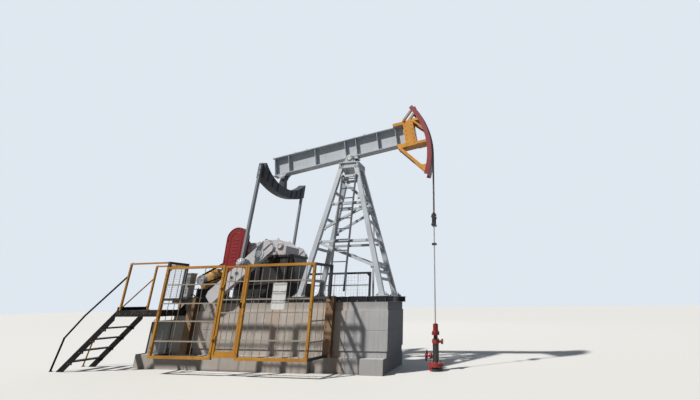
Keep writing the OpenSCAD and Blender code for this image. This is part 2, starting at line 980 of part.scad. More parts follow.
module wellhead() {
    color(dark)
        difference() {
            union() {
                translate([arc_r, 0, 0]) {
                    cylinder(r = 160, h = 60);
                    translate([0, 0, 60])
                        cylinder(r = 80, h = 60);
                    translate([0, 0, 100])
                        cylinder(r = 190, h = 80);
                    translate([0, 0, 180])
                        cylinder(r = 75, h = 430);
                    translate([0, 0, 610])
                        cylinder(r = 92, h = 80);
                    translate([0, 0, 690])
                        cylinder(r = 52, h = 110);
                }
                translate([arc_r, 0, valve_z])
                    rotate([0, -90, 0]) {
                        cylinder(r = 45, h = 170);
                        translate([0, 0, 110])
                            cylinder(r = 75, h = 30);
                    }
            }
            translate([arc_r, 0, 20])
                cylinder(r = well_bore, h = stuffing_top);
            translate([arc_r - 120, 0, valve_z])
                rotate([0, -90, 0])
                    cylinder(r = stem_r + run_gap, h = 60);
        }
}

module handwheel() {
    color(red)
        translate([arc_r - 125, 0, valve_z])
            rotate([0, -90, 0]) {
                cylinder(r = stem_r, h = 140);
                translate([0, 0, 110]) {
                    rotate_extrude()
                        translate([wheel_r - 14, 0])
                            circle(r = 13, $fn = 24);
                    for (a = [0:90:270])
                        rotate([0, 0, a])
                            translate([0, -10, -8])
                                cube([wheel_r - 14, 20, 16]);
                    cylinder(r = 30, h = 40, center = true);
                }
            }
}

module stuffing_box() {
    color(red)
        translate([arc_r, 0, 800])
            difference() {
                union() {
                    cylinder(r = 95, h = 70);
                    cylinder(r = 65, h = stuffing_top - 800);
                }
                translate([0, 0, -eps])
                    cylinder(r = rod_r + run_gap, h = stuffing_top);
            }
}

// Beam body
stiffeners = [-2560, -2080, -1180, -180, 180, 870, 1460];

module walking_beam() {
    color(pale)
        on_beam()
            translate([-beam_tail, 0, beam_rise]) {
                i_beam(beam_tail + beam_front, beam_h, beam_flange, flange_t, web_t);
                for (u = stiffeners)
                    translate([u + beam_tail, -beam_flange / 2 + 10, flange_t])
                        cube([14, beam_flange - 20, beam_h - 2 * flange_t]);
            }
}

module arc_segment(r0, r1, y0, y1, from, to) {
    rotate([90, 0, 0])
        rotate([0, 0, from])
            rotate_extrude(angle = to - from, $fn = 180)
                translate([r0, -y1])
                    square([r1 - r0, y1 - y0]);
}

module head_arc() {
    color(red)
        on_beam() {
            arc_segment(arc_inner, arc_outer, -arc_w / 2, arc_w / 2, -arc_down, arc_up);
            for (y = [-arc_w / 2, arc_w / 2 - arc_plate])
                arc_segment(arc_inner - rim_depth, arc_inner, y, y + arc_plate, -arc_down, arc_up);
        }
}

// A place on the inside of the arc's plate, at an angle from the beam's line
function arc_at(a, back) = [(arc_inner - back) * cos(a), (arc_inner - back) * sin(a)];

// The hollow edge of the gusset in the arc's lower corner
function gusset_edge(t) =
    let (foot = arc_at(-arc_down + 2, 20), along = [box_u - 200, box_w0 + 10] - foot)
    (1 - t) * (1 - t) * (foot + 0.42 * along)
        + 2 * t * (1 - t) * (foot + [-60, 110])
        + t * t * arc_at(-arc_down + 11, 20);

module inside_arc() {
    difference() {
        children();
        difference() {
            circle(r = 2 * arc_r, $fn = 180);
            circle(r = arc_inner - eps, $fn = 180);
        }
    }
}

// The upper and lower bars from the box to the arc, nearly as wide as the arc
module head_level_bars() {
    b = head_bar;
    y = arc_w / 2 - arc_plate - 1;
    slice(-y, y)
        inside_arc() {
            strip([box_u + box_len - 10, box_w0 + box_h - b / 2], [arc_r, box_w0 + box_h - b / 2], b);
            strip([box_u + box_len - 10, box_w0 + b / 2], [arc_r, box_w0 + b / 2], b);
        }
}

module head_side(y) {
    b = head_bar;
    foot = arc_at(-arc_down + 2, 20);
    slice(y - b / 2, y + b / 2)
        inside_arc() {
            strip([box_u - 200, box_w0 + 10], foot, b);
            polygon(concat([foot], [for (t = [0:8]) gusset_edge(t / 8)]));
            strip([box_u + 20, box_w0 + box_h], arc_at(arc_up - 1.5, 20), b * 0.7);
            strip([box_u + box_len, box_w0 + box_h - 60], arc_at(8, 20), b * 0.6);
        }
}

module head_frame() {
    y = arc_w / 2 - arc_plate - head_bar / 2 - 1;
    color(yellow)
        on_beam()
            difference() {
                union() {
                    block([box_u, -box_w / 2, box_w0], [box_u + box_len, box_w / 2, box_w0 + box_h]);
                    head_level_bars();
                    for (s = [-1, 1])
                        head_side(s * y);
                    block([box_u - 260, -box_w / 2, box_w0], [box_u, box_w / 2, beam_rise]);
                    block([box_u - 310, -box_w / 2, beam_rise + beam_h],
                        [box_u, box_w / 2, box_w0 + box_h]);
                }
                block([-beam_tail, -beam_flange / 2, beam_rise],
                    [beam_front, beam_flange / 2, beam_rise + beam_h]);
            }
}

module saddle_shaft() {
    plate_len = 200;
    half_y = beam_flange / 2 - 10;
    color(steel_grey)
        on_beam() {
            y_cylinder(saddle_r, -275, 275);
            block([-plate_len, -half_y, 0], [plate_len, half_y, beam_rise]);
        }
}

module tail_bracket() {
    y0 = 90;
    y1 = 118;
    color(pale)
        on_beam()
            translate([-tail_arm, 0, 0]) {
                mirror_y()
                    slice(y0, y1)
                        union() {
                            circle(tail_hub_r);
                            polygon([[-tail_hub_r, 0], [tail_hub_r, 0], [180, beam_rise], [-180, beam_rise]]);
                        }
                y_cylinder(tail_pin_r, -y1, y1);
            }
}

module wrapped_rope() {
    clamp_a = arc_up - 1;
    color(dark)
        on_beam()
            for (s = [-1, 1])
                rotate([90, 0, 0])
                    rotate([0, 0, -beam_tilt])
                        rotate_extrude(angle = clamp_a + beam_tilt, $fn = 180)
                            translate([arc_r, s * rope_gap / 2])
                                circle(d = rope_d, $fn = 16);
}

// Pitman body
module equalizer() {
    sag = 605;
    rise = 250;
    bow = (equalizer_half * equalizer_half + rise * rise) / (2 * rise);
    inner_half = 900;
    inner_top = 310;
    inner = (inner_half * inner_half + inner_top * inner_top) / (2 * inner_top);
    color(dark)
        on_pitman()
            translate([-equalizer_w / 2, 0, 0])
                rotate([90, 0, 90])
                    linear_extrude(equalizer_w)
                        union() {
                            difference() {
                                intersection() {
                                    translate([0, bow - sag])
                                        circle(bow, $fn = 160);
                                    translate([-equalizer_half, -sag])
                                        square([2 * equalizer_half, sag + 90]);
                                }
                                translate([0, inner - inner_top - 30])
                                    circle(inner, $fn = 160);
                            }
                            translate([-110, -hanger_seat - 60])
                                square([220, 60]);
                        }
}

module equalizer_hanger() {
    y = 80;
    color(pale)
        on_pitman()
            difference() {
                union() {
                    y_cylinder(tail_hub_r, -y, y);
                    slice(-y, y)
                        polygon([[-60, 0], [60, 0], [110, -hanger_seat], [-110, -hanger_seat]]);
                }
                y_cylinder(tail_pin_r + run_gap, -y - eps, y + eps);
            }
}

module pitman_arms() {
    y0 = equalizer_half;
    color(pale)
        mirror_y()
            on_pitman() {
                block([-pitman_w / 2, y0, -pitman_len], [pitman_w / 2, y0 + pitman_t, 60]);
                translate([0, 0, -pitman_len])
                    y_cylinder(125, bearing_in, y0 + pitman_t);
            }
}

// Crank body
module crank() {
    slot = 50;
    half = crank_w / 2;
    end = -half - 215;
    slice(crank_y, crank_outer)
        difference() {
            polygon([
                [end, -half + 60], [end + 70, -half], [crank_reach - 120, -half + 25], [crank_reach, -half + 90],
                [crank_reach, half - 90], [crank_reach - 60, half - 25], [end + 70, half], [end, half - 60]
            ]);
            circle(shaft_r + run_gap);
            translate([end - eps, -slot / 2 + 20])
                square([-end - shaft_r + 10, slot]);
            for (r = [free_hole_1, free_hole_2])
                translate([r, 0])
                    circle(45);
        }
}

module cranks() {
    color(pale)
        mirror_y()
            on_crank()
                crank();
}

// The crank shaft and the wrist pins that the cranks carry
module crank_shaft() {
    color(steel_grey)
        on_crank() {
            y_cylinder(shaft_r, -crank_outer - 20, crank_outer + 20);
            mirror_y()
                translate([wrist_radius, 0, 0]) {
                    y_cylinder(95, crank_outer, crank_outer + 25);
                    y_cylinder(60, crank_outer, pin_end);
                }
        }
}

// Rod body
module hanging_rope() {
    top = pivot_z - 6;
    color(dark)
        for (s = [-1, 1])
            translate([arc_r, s * rope_gap / 2, carrier_z + carrier_h])
                cylinder(d = rope_d, h = top - carrier_z - carrier_h, $fn = 16);
}

module carrier_bar() {
    w = 110;
    half = rope_gap / 2 + 65;
    t = 50;
    color(steel_grey)
        translate([arc_r, 0, carrier_z])
            difference() {
                union() {
                    block([-w / 2, -half, 0], [w / 2, half, t]);
                    block([-w / 2, -half, carrier_h - t], [w / 2, half, carrier_h]);
                    mirror_y()
                        block([-w / 3, half - 30, t], [w / 3, half, carrier_h - t]);
                }
                translate([0, 0, -eps])
                    cylinder(r = rod_r + 0.3, h = carrier_h + 2 * eps);
            }
}

module polished_rod() {
    color(steel_grey)
        translate([arc_r, 0, 0]) {
            translate([0, 0, rod_bottom])
                cylinder(r = rod_r, h = carrier_z + carrier_h + 160 - rod_bottom);
            translate([0, 0, carrier_z + carrier_h])
                cylinder(r = 45, h = 80);
            translate([0, 0, carrier_z - 530])
                cylinder(r = 40, h = 70);
        }
}

base_slabs();
foundation();
rear_block();
skid_rails();
skid_cross_beams();
tower_legs();
tower_side_bars();
tower_cross_bars();
tower_head();
ladder();
saddle_bearings();
gearbox_stand();
gearbox();
belt_guard();
motor_stand();
motor();
control_box();
guard_columns();
fence_front();
fence_sides();
fence_back();
sign_plates();
platform_deck();
platform_rails();
stair_stringers();
stair_treads();
stair_handrail();
wellhead();
stuffing_box();
walking_beam();
head_frame();
head_arc();
saddle_shaft();
tail_bracket();
wrapped_rope();
equalizer();
equalizer_hanger();
pitman_arms();
cranks();
crank_shaft();
hanging_rope();
carrier_bar();
polished_rod();
gate_leaf();
handwheel();
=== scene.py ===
import bpy
import bmesh
import json
import math
from itertools import product
from mathutils import Matrix, Vector


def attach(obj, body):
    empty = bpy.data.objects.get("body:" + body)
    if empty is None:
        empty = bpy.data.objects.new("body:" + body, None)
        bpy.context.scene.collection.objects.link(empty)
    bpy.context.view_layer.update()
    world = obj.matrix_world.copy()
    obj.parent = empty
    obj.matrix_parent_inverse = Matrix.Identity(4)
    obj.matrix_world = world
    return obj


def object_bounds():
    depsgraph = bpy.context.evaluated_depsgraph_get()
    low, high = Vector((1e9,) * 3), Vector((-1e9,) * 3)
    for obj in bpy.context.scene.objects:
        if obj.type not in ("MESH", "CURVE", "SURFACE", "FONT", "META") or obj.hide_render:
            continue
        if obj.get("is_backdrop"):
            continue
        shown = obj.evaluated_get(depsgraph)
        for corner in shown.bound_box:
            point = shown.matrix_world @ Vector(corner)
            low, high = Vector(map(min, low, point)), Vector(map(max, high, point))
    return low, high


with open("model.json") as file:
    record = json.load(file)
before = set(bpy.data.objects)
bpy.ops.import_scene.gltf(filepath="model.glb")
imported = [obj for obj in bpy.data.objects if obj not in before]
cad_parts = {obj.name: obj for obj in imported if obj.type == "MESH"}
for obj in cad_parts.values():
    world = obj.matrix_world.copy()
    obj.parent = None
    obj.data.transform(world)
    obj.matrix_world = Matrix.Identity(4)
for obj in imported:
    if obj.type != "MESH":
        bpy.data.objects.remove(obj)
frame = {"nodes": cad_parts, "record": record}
bounds_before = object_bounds()

# Camera, fitted to the photograph's edges. Its size, focal length and centre are in the photo's pixels
scene = bpy.context.scene
YAW, PITCH, ROLL = math.radians(11.043), math.radians(18.368), math.radians(-0.588)
PHOTO_W, PHOTO_H = 700, 400
FOCAL, CENTRE_X, CENTRE_Y = 345.66, 429.8, 186.4
EYE = (4.183, -9.18, 1.596)
fwd = Vector((-math.sin(YAW) * math.cos(PITCH), math.cos(YAW) * math.cos(PITCH), math.sin(PITCH)))
level = Vector((math.cos(YAW), math.sin(YAW), 0.0))
above = level.cross(fwd)
right = level * math.cos(ROLL) + above * math.sin(ROLL)
up = -level * math.sin(ROLL) + above * math.cos(ROLL)
cam_data = bpy.data.cameras.new("camera")
cam_data.sensor_width = 36.0
cam_data.sensor_fit = "HORIZONTAL"
cam_data.lens = FOCAL / PHOTO_W * 36
cam_data.shift_x = -(CENTRE_X - PHOTO_W / 2) / PHOTO_W
cam_data.shift_y = -(PHOTO_H / 2 - CENTRE_Y) / PHOTO_W
cam_data.clip_end = 500
camera = bpy.data.objects.new("camera", cam_data)
camera.matrix_world = Matrix((
    (right.x, up.x, -fwd.x, EYE[0]),
    (right.y, up.y, -fwd.y, EYE[1]),
    (right.z, up.z, -fwd.z, EYE[2]),
    (0, 0, 0, 1)))
scene.collection.objects.link(camera)
scene.camera = camera
scene.view_settings.view_transform = "Standard"


# Light
def seen_rays(tree):
    # 1 for rays that show the background, 0 for those that light the object
    ray = tree.nodes.new("ShaderNodeLightPath")
    value = ray.outputs["Is Camera Ray"]
    for name in ("Is Glossy Ray", "Is Transmission Ray"):
        node = tree.nodes.new("ShaderNodeMath")
        node.operation = "MAXIMUM"
        tree.links.new(value, node.inputs[0])
        tree.links.new(ray.outputs[name], node.inputs[1])
        value = node.outputs[0]
    return value


# One background lights the object and a paler one is seen
world = bpy.data.worlds.new("sky")
world.use_nodes = True
sky = world.node_tree
both = sky.nodes.new("ShaderNodeMixShader")
sky.links.new(seen_rays(sky), both.inputs[0])
lit, seen = sky.nodes["Background"], sky.nodes.new("ShaderNodeBackground")
for i, node, tone, power in (
        (1, lit, (0.66, 0.79, 0.95, 1), 0.19),
        (2, seen, (0.74, 0.8, 0.87, 1), 1.0)):
    node.inputs[0].default_value = tone
    node.inputs[1].default_value = power
    sky.links.new(node.outputs[0], both.inputs[i])
sky.links.new(both.outputs[0], sky.nodes["World Output"].inputs[0])
scene.world = world


def lamp(name, kind, direction, power, tint):
    data = bpy.data.lights.new(name, kind)
    data.energy = power
    data.color = tint
    obj = bpy.data.objects.new(name, data)
    obj.rotation_mode = "QUATERNION"
    obj.rotation_quaternion = Vector(direction).to_track_quat("-Z", "Y")
    scene.collection.objects.link(obj)
    return obj


# A wide, distant key keeps the floor evenly lit out to the backdrop
lamp("key", "SUN", (0.5, 0.42, -0.756), 5.9, (1.0, 0.965, 0.91)).data.angle = math.radians(2)
for name, where, target, size, power, tint in (
        ("fill", (16, -13, 8), (-1, 0, 2.5), 12, 20, (0.88, 0.94, 1.0)),
        ("back", (-2, 17, 15), (-2, 0, 3), 10, 380, (0.93, 0.96, 1.0))):
    light = lamp(name, "AREA", Vector(target) - Vector(where), power, tint)
    light.location = where
    light.data.shape = "SQUARE"
    light.data.size = size


# Materials: each is a small graph of noises in real metres
class Graph:
    def __init__(self, name, metallic=0.0, specular=0.5):
        self.mat = bpy.data.materials.new(name)
        self.mat.use_nodes = True
        self.nodes = self.mat.node_tree.nodes
        self.links = self.mat.node_tree.links
        self.nodes.clear()
        self.shader = self.new("BsdfPrincipled", Metallic=metallic, Specular_IOR_Level=specular)
        self.new("OutputMaterial", Surface=self.shader.outputs[0])
        self.coord = self.new("TexCoord")

    def feed(self, socket, value):
        # A socket is linked, and anything else is set
        if isinstance(value, bpy.types.NodeSocket):
            self.links.new(value, socket)
        else:
            socket.default_value = value

    def new(self, kind, **inputs):
        node = self.nodes.new("ShaderNode" + kind)
        for name, value in inputs.items():
            self.feed(node.inputs[name.replace("_", " ")], value)
        return node

    def point(self, scale=(1, 1, 1), shift=(0, 0, 0)):
        node = self.new("Mapping", Vector=self.coord.outputs["Object"], Scale=scale, Location=shift)
        return node.outputs[0]

    def noise(self, scale, detail, rough, stretch=(1, 1, 1), shift=(0, 0, 0)):
        where = self.point(stretch, shift)
        return self.new("TexNoise", Vector=where, Scale=scale, Detail=detail, Roughness=rough).outputs["Fac"]

    def cells(self, scale):
        return self.new("TexVoronoi", Vector=self.point(), Scale=scale).outputs["Distance"]

    def ramp(self, value, low, high, a=0.0, b=1.0):
        return self.new("MapRange", Value=value, From_Min=low, From_Max=high, To_Min=a, To_Max=b).outputs[0]

    def math(self, op, a, b=None):
        node = self.new("Math")
        node.operation = op
        self.feed(node.inputs[0], a)
        if b is not None:
            self.feed(node.inputs[1], b)
        return node.outputs[0]

    def mul(self, a, b):
        return self.math("MULTIPLY", a, b)

    def add(self, a, b):
        return self.math("ADD", a, b)

    def sub(self, a, b):
        return self.math("SUBTRACT", a, b)

    def size(self, a):
        return self.math("ABSOLUTE", a)

    def mix(self, factor, a, b):
        node = self.new("Mix")
        node.data_type = "RGBA"
        for i, value in ((0, factor), (6, a), (7, b)):
            self.feed(node.inputs[i], value + (1,) if isinstance(value, tuple) else value)
        return node.outputs[2]

    def over(self, col, coat, mask, share):
        # A coat over a colour, where the mask is, at a share of its strength
        return self.mix(self.mul(mask, share), col, coat)

    def axis(self, name):
        return self.new("SeparateXYZ", Vector=self.coord.outputs["Object"]).outputs[name]

    def inside(self, ranges):
        # 1 where every axis lies in its range
        value = 1.0
        for name, low, high in ranges:
            along = self.axis(name)
            value = self.mul(value, self.math("GREATER_THAN", along, low))
            value = self.mul(value, self.math("LESS_THAN", along, high))
        return value

    def normal(self):
        return self.new("NewGeometry").outputs["Normal"]

    def facing(self, name):
        return self.new("SeparateXYZ", Vector=self.normal()).outputs[name]

    def edges(self, radius, low=0.02, high=0.12):
        bevel = self.new("Bevel", Radius=radius)
        bevel.samples = 4
        dot = self.new("VectorMath")
        dot.operation = "DOT_PRODUCT"
        self.feed(dot.inputs[0], bevel.outputs[0])
        self.feed(dot.inputs[1], self.normal())
        return self.ramp(self.sub(1.0, dot.outputs["Value"]), low, high)

    def bump(self, height, distance, strength):
        node = self.new("Bump", Height=height, Distance=distance, Strength=strength)
        self.feed(self.shader.inputs["Normal"], node.outputs[0])

    def colour(self, socket):
        self.feed(self.shader.inputs["Base Color"], socket)

    def rough(self, value, low, high, a, b):
        self.feed(self.shader.inputs["Roughness"], self.ramp(value, low, high, a, b))


# Floor: darker for the rays that light the object than for those that are seen
g = Graph("floor")
g.colour(g.mix(seen_rays(g.mat.node_tree), (0.15, 0.147, 0.14), (0.5, 0.5, 0.49)))
g.shader.inputs["Roughness"].default_value = 0.95
floor_mesh = bpy.data.meshes.new("floor")
floor_mesh.from_pydata([(-90, -90, 0), (90, -90, 0), (90, 90, 0), (-90, 90, 0)], [], [(0, 1, 2, 3)])
floor_mesh.materials.append(g.mat)
floor = bpy.data.objects.new("floor", floor_mesh)
scene.collection.objects.link(floor)
floor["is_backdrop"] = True

RUST = (0.2, 0.085, 0.035)


def dim(tone, share):
    return tuple(c * share for c in tone)


def streaks(g, seed):
    # Runs of dirt that follow the fall of water: fine across, long in height
    fine = g.noise(14, 3, 0.6, (1, 1, 0.05), (seed, seed, 0))
    patch = g.noise(1.3, 2, 0.5, (1, 1, 0.5), (seed + 3, 0, seed))
    return g.mul(g.ramp(fine, 0.5, 0.72), g.ramp(patch, 0.42, 0.62))


def paint(name, base, shade, seed, wear=0.5, dirt=0.5, gloss=(0.34, 0.62), shine=0.28, coats=()):
    # Weathered paint: clouds of two tones, grain, dirt runs, rust spots and chipped edges. Each of
    # the coats is another pair of tones inside a box.
    g = Graph(name, 0.0, shine)
    cloud = g.ramp(g.noise(1.6, 4, 0.6, shift=(seed, 0, 0)), 0.32, 0.7)
    col = g.mix(cloud, base, shade)
    for box, tones in coats:
        col = g.mix(g.inside(box), col, g.mix(cloud, *tones))
    grain = g.noise(55, 3, 0.6)
    col = g.over(col, dim(base, 0.55), g.ramp(grain, 0.45, 0.75), 0.18)
    col = g.over(col, tuple(0.5 * a + 0.25 * b for a, b in zip(RUST, base)), streaks(g, seed), dirt)
    spots = g.ramp(g.noise(9, 6, 0.75, shift=(0, seed, 0)), 0.62, 0.68)
    chips = g.mul(g.edges(0.004), g.ramp(g.noise(18, 4, 0.7), 0.42, 0.58))
    worn = g.mul(g.math("MINIMUM", g.add(g.mul(spots, 0.6), chips), 1.0), wear)
    g.colour(g.mix(worn, col, g.mix(g.ramp(g.noise(40, 5, 0.7), 0.35, 0.65), RUST, dim(RUST, 0.45))))
    g.rough(g.add(g.mul(grain, 0.5), g.mul(worn, 0.5)), 0.15, 0.6, *gloss)
    g.bump(g.sub(g.mul(grain, 0.5), worn), 0.0012, 0.6)
    return g.mat


def make_concrete():
    g = Graph("concrete_rough", 0.0, 0.3)
    x, z = g.axis("X"), g.axis("Z")
    big = g.noise(0.9, 5, 0.6)
    fine = g.noise(26, 6, 0.7)
    patch = g.noise(2.3, 4, 0.65, shift=(4, 2, 7))
    hue = g.ramp(big, 0.35, 0.65)
    upright = g.ramp(g.size(g.facing("Z")), 0.75, 0.45)
    col = g.mix(hue, (0.43, 0.382, 0.345), (0.355, 0.325, 0.3))
    col = g.over(col, (0.5, 0.47, 0.445), g.ramp(patch, 0.5, 0.62), 0.6)
    col = g.over(col, (0.44, 0.41, 0.38), g.ramp(fine, 0.35, 0.75), 0.35)
    # The front end was cast later and is a bluer grey
    front = g.ramp(x, 0.02, 0.1)
    col = g.over(col, g.mix(hue, (0.395, 0.402, 0.422), (0.345, 0.352, 0.37)), front, 0.85)
    # Dark, pale and rusty runs down the upright faces
    runs = g.ramp(g.noise(15, 3, 0.65, (1, 1, 0.03), (2, 5, 0)), 0.5, 0.68)
    runs = g.mul(runs, g.ramp(g.noise(0.9, 2, 0.5, (1, 1, 0.5)), 0.42, 0.66))
    col = g.over(col, (0.19, 0.17, 0.155), g.mul(runs, upright), 0.3)
    rusty = g.sub(0.55, g.mul(front, 0.4))
    for tone, scale, tall, shift, low, high, share in (
            ((0.52, 0.5, 0.47), 9, 0.04, (7, 3, 1), 0.58, 0.72, 0.35),
            ((0.5, 0.285, 0.155), 6, 0.05, (9, 1, 0), 0.6, 0.74, rusty)):
        runs = g.ramp(g.noise(scale, 3, 0.6, (1, 1, tall), shift), low, high)
        col = g.over(col, tone, g.mul(runs, upright), share)
    # A rust stain beside the front column of the guard
    stain = g.mul(g.mul(g.ramp(x, 0.02, 0.16), g.ramp(x, 0.5, 0.24)), upright)
    stain = g.mul(stain, g.ramp(g.noise(2.6, 5, 0.65, (1, 1, 0.35), (3, 8, 2)), 0.32, 0.62))
    col = g.over(col, (0.5, 0.29, 0.13), stain, 0.62)
    # A damp foot, a grimy top and the joint between two pours
    col = g.over(col, (0.28, 0.25, 0.215), g.ramp(g.add(z, g.mul(big, 0.4)), 0.7, 0.3), 0.3)
    col = g.over(col, (0.16, 0.145, 0.13), g.ramp(g.add(z, g.mul(patch, 0.35)), 1.58, 1.72), 0.35)
    joint = g.ramp(g.size(g.sub(z, 0.94)), 0.008, 0.002)
    col = g.over(col, (0.18, 0.17, 0.15), joint, 0.25)
    # Pits and chipped edges
    pits = g.mul(g.ramp(g.cells(38), 0.16, 0.04), g.ramp(g.noise(5, 2, 0.5), 0.5, 0.6))
    col = g.over(col, (0.12, 0.11, 0.1), pits, 0.7)
    chip = g.mul(g.edges(0.014, 0.02, 0.1), g.ramp(g.noise(12, 4, 0.7), 0.45, 0.6))
    col = g.over(col, (0.55, 0.53, 0.5), chip, 0.6)
    # Painted shade: the face at the front end that faces +X is darkened to a bluish grey
    end = g.mul(g.ramp(g.facing("X"), 0.7, 0.9), g.ramp(x, 1.0, 1.2))
    g.colour(g.over(col, (0.14, 0.155, 0.18), end, 0.55))
    g.rough(fine, 0.3, 0.7, 0.82, 0.96)
    tall = g.add(g.mul(fine, 0.6), g.mul(big, 0.8))
    g.bump(g.sub(g.sub(tall, pits), g.add(joint, chip)), 0.006, 0.8)
    return g.mat


def make_rust():
    g = Graph("rusted_steel", 0.15, 0.3)
    a = g.noise(5, 6, 0.7)
    b = g.noise(45, 5, 0.7)
    col = g.mix(g.ramp(a, 0.3, 0.7), (0.2, 0.088, 0.03), (0.1, 0.05, 0.024))
    col = g.over(col, (0.27, 0.125, 0.05), g.ramp(b, 0.5, 0.75), 0.7)
    g.colour(g.over(col, (0.03, 0.02, 0.016), streaks(g, 4), 0.6))
    g.rough(b, 0.3, 0.7, 0.7, 0.95)
    g.bump(b, 0.002, 0.8)
    return g.mat


def make_steel(name, base, low=0.22, high=0.45):
    g = Graph(name, 1.0, 0.5)
    a = g.noise(8, 4, 0.6)
    b = g.noise(90, 3, 0.6, (0.1, 1, 0.1))
    col = g.mix(g.ramp(a, 0.35, 0.7), base, dim(base, 0.7))
    g.colour(g.over(col, (0.16, 0.075, 0.035), g.ramp(a, 0.6, 0.7), 0.7))
    g.rough(b, 0.3, 0.7, low, high)
    g.bump(b, 0.0004, 0.5)
    return g.mat


def make_rope():
    # Strands that wind round each rope: a wave on the diagonal of turn and height
    g = Graph("wire_rope_lay", 0.6, 0.4)
    wave = g.new("TexWave", Vector=g.point(), Scale=26)
    wave.wave_type = "BANDS"
    wave.bands_direction = "DIAGONAL"
    lay = wave.outputs["Fac"]
    grease = g.noise(14, 4, 0.6)
    col = g.mix(lay, (0.03, 0.027, 0.024), (0.2, 0.19, 0.175))
    g.colour(g.mix(g.ramp(grease, 0.45, 0.65), col, (0.028, 0.024, 0.02)))
    g.rough(grease, 0.3, 0.7, 0.3, 0.6)
    g.bump(lay, 0.003, 0.9)
    return g.mat


def make_grating():
    # Bars every 33 mm and cross rods every 60 mm, with dark gaps on the level faces
    g = Graph("black_grating", 0.0, 0.1)
    bars = g.size(g.math("SINE", g.mul(g.axis("X"), math.pi / 0.033)))
    rows = g.size(g.math("SINE", g.mul(g.axis("Y"), math.pi / 0.06)))
    flat = g.ramp(g.size(g.facing("Z")), 0.7, 0.9)
    hole = g.mul(g.mul(g.ramp(bars, 0.35, 0.5), g.ramp(rows, 0.25, 0.4)), flat)
    rub = g.ramp(g.noise(6, 5, 0.7), 0.5, 0.7)
    col = g.over((0.013, 0.013, 0.014), (0.13, 0.085, 0.055), rub, 0.5)
    g.colour(g.over(col, (0.006, 0.006, 0.006), hole, 0.85))
    g.rough(rub, 0.2, 0.8, 0.45, 0.75)
    g.bump(g.sub(1.0, hole), 0.006, 0.8)
    return g.mat


def make_well():
    # Black casing with brick red flanges and a red side valve
    g = Graph("wellhead_black_and_red")
    z = g.axis("Z")
    grain = g.noise(30, 5, 0.7)
    red = g.ramp(g.axis("X"), 2.424, 2.42)
    for low, high in ((0.094, 0.186), (0.604, 0.696)):
        band = g.mul(g.ramp(z, low - 0.002, low + 0.002), g.ramp(z, high + 0.002, high - 0.002))
        red = g.math("MAXIMUM", red, band)
    black = g.mix(g.ramp(grain, 0.4, 0.7), (0.016, 0.016, 0.017), (0.045, 0.038, 0.034))
    brick = g.mix(g.ramp(grain, 0.45, 0.75), (0.3, 0.022, 0.02), (0.16, 0.02, 0.018))
    col = g.mix(red, black, brick)
    g.colour(g.over(col, (0.11, 0.055, 0.03), g.ramp(g.noise(7, 5, 0.7), 0.58, 0.7), 0.5))
    g.rough(grain, 0.3, 0.7, 0.35, 0.7)
    g.bump(grain, 0.0015, 0.6)
    return g.mat


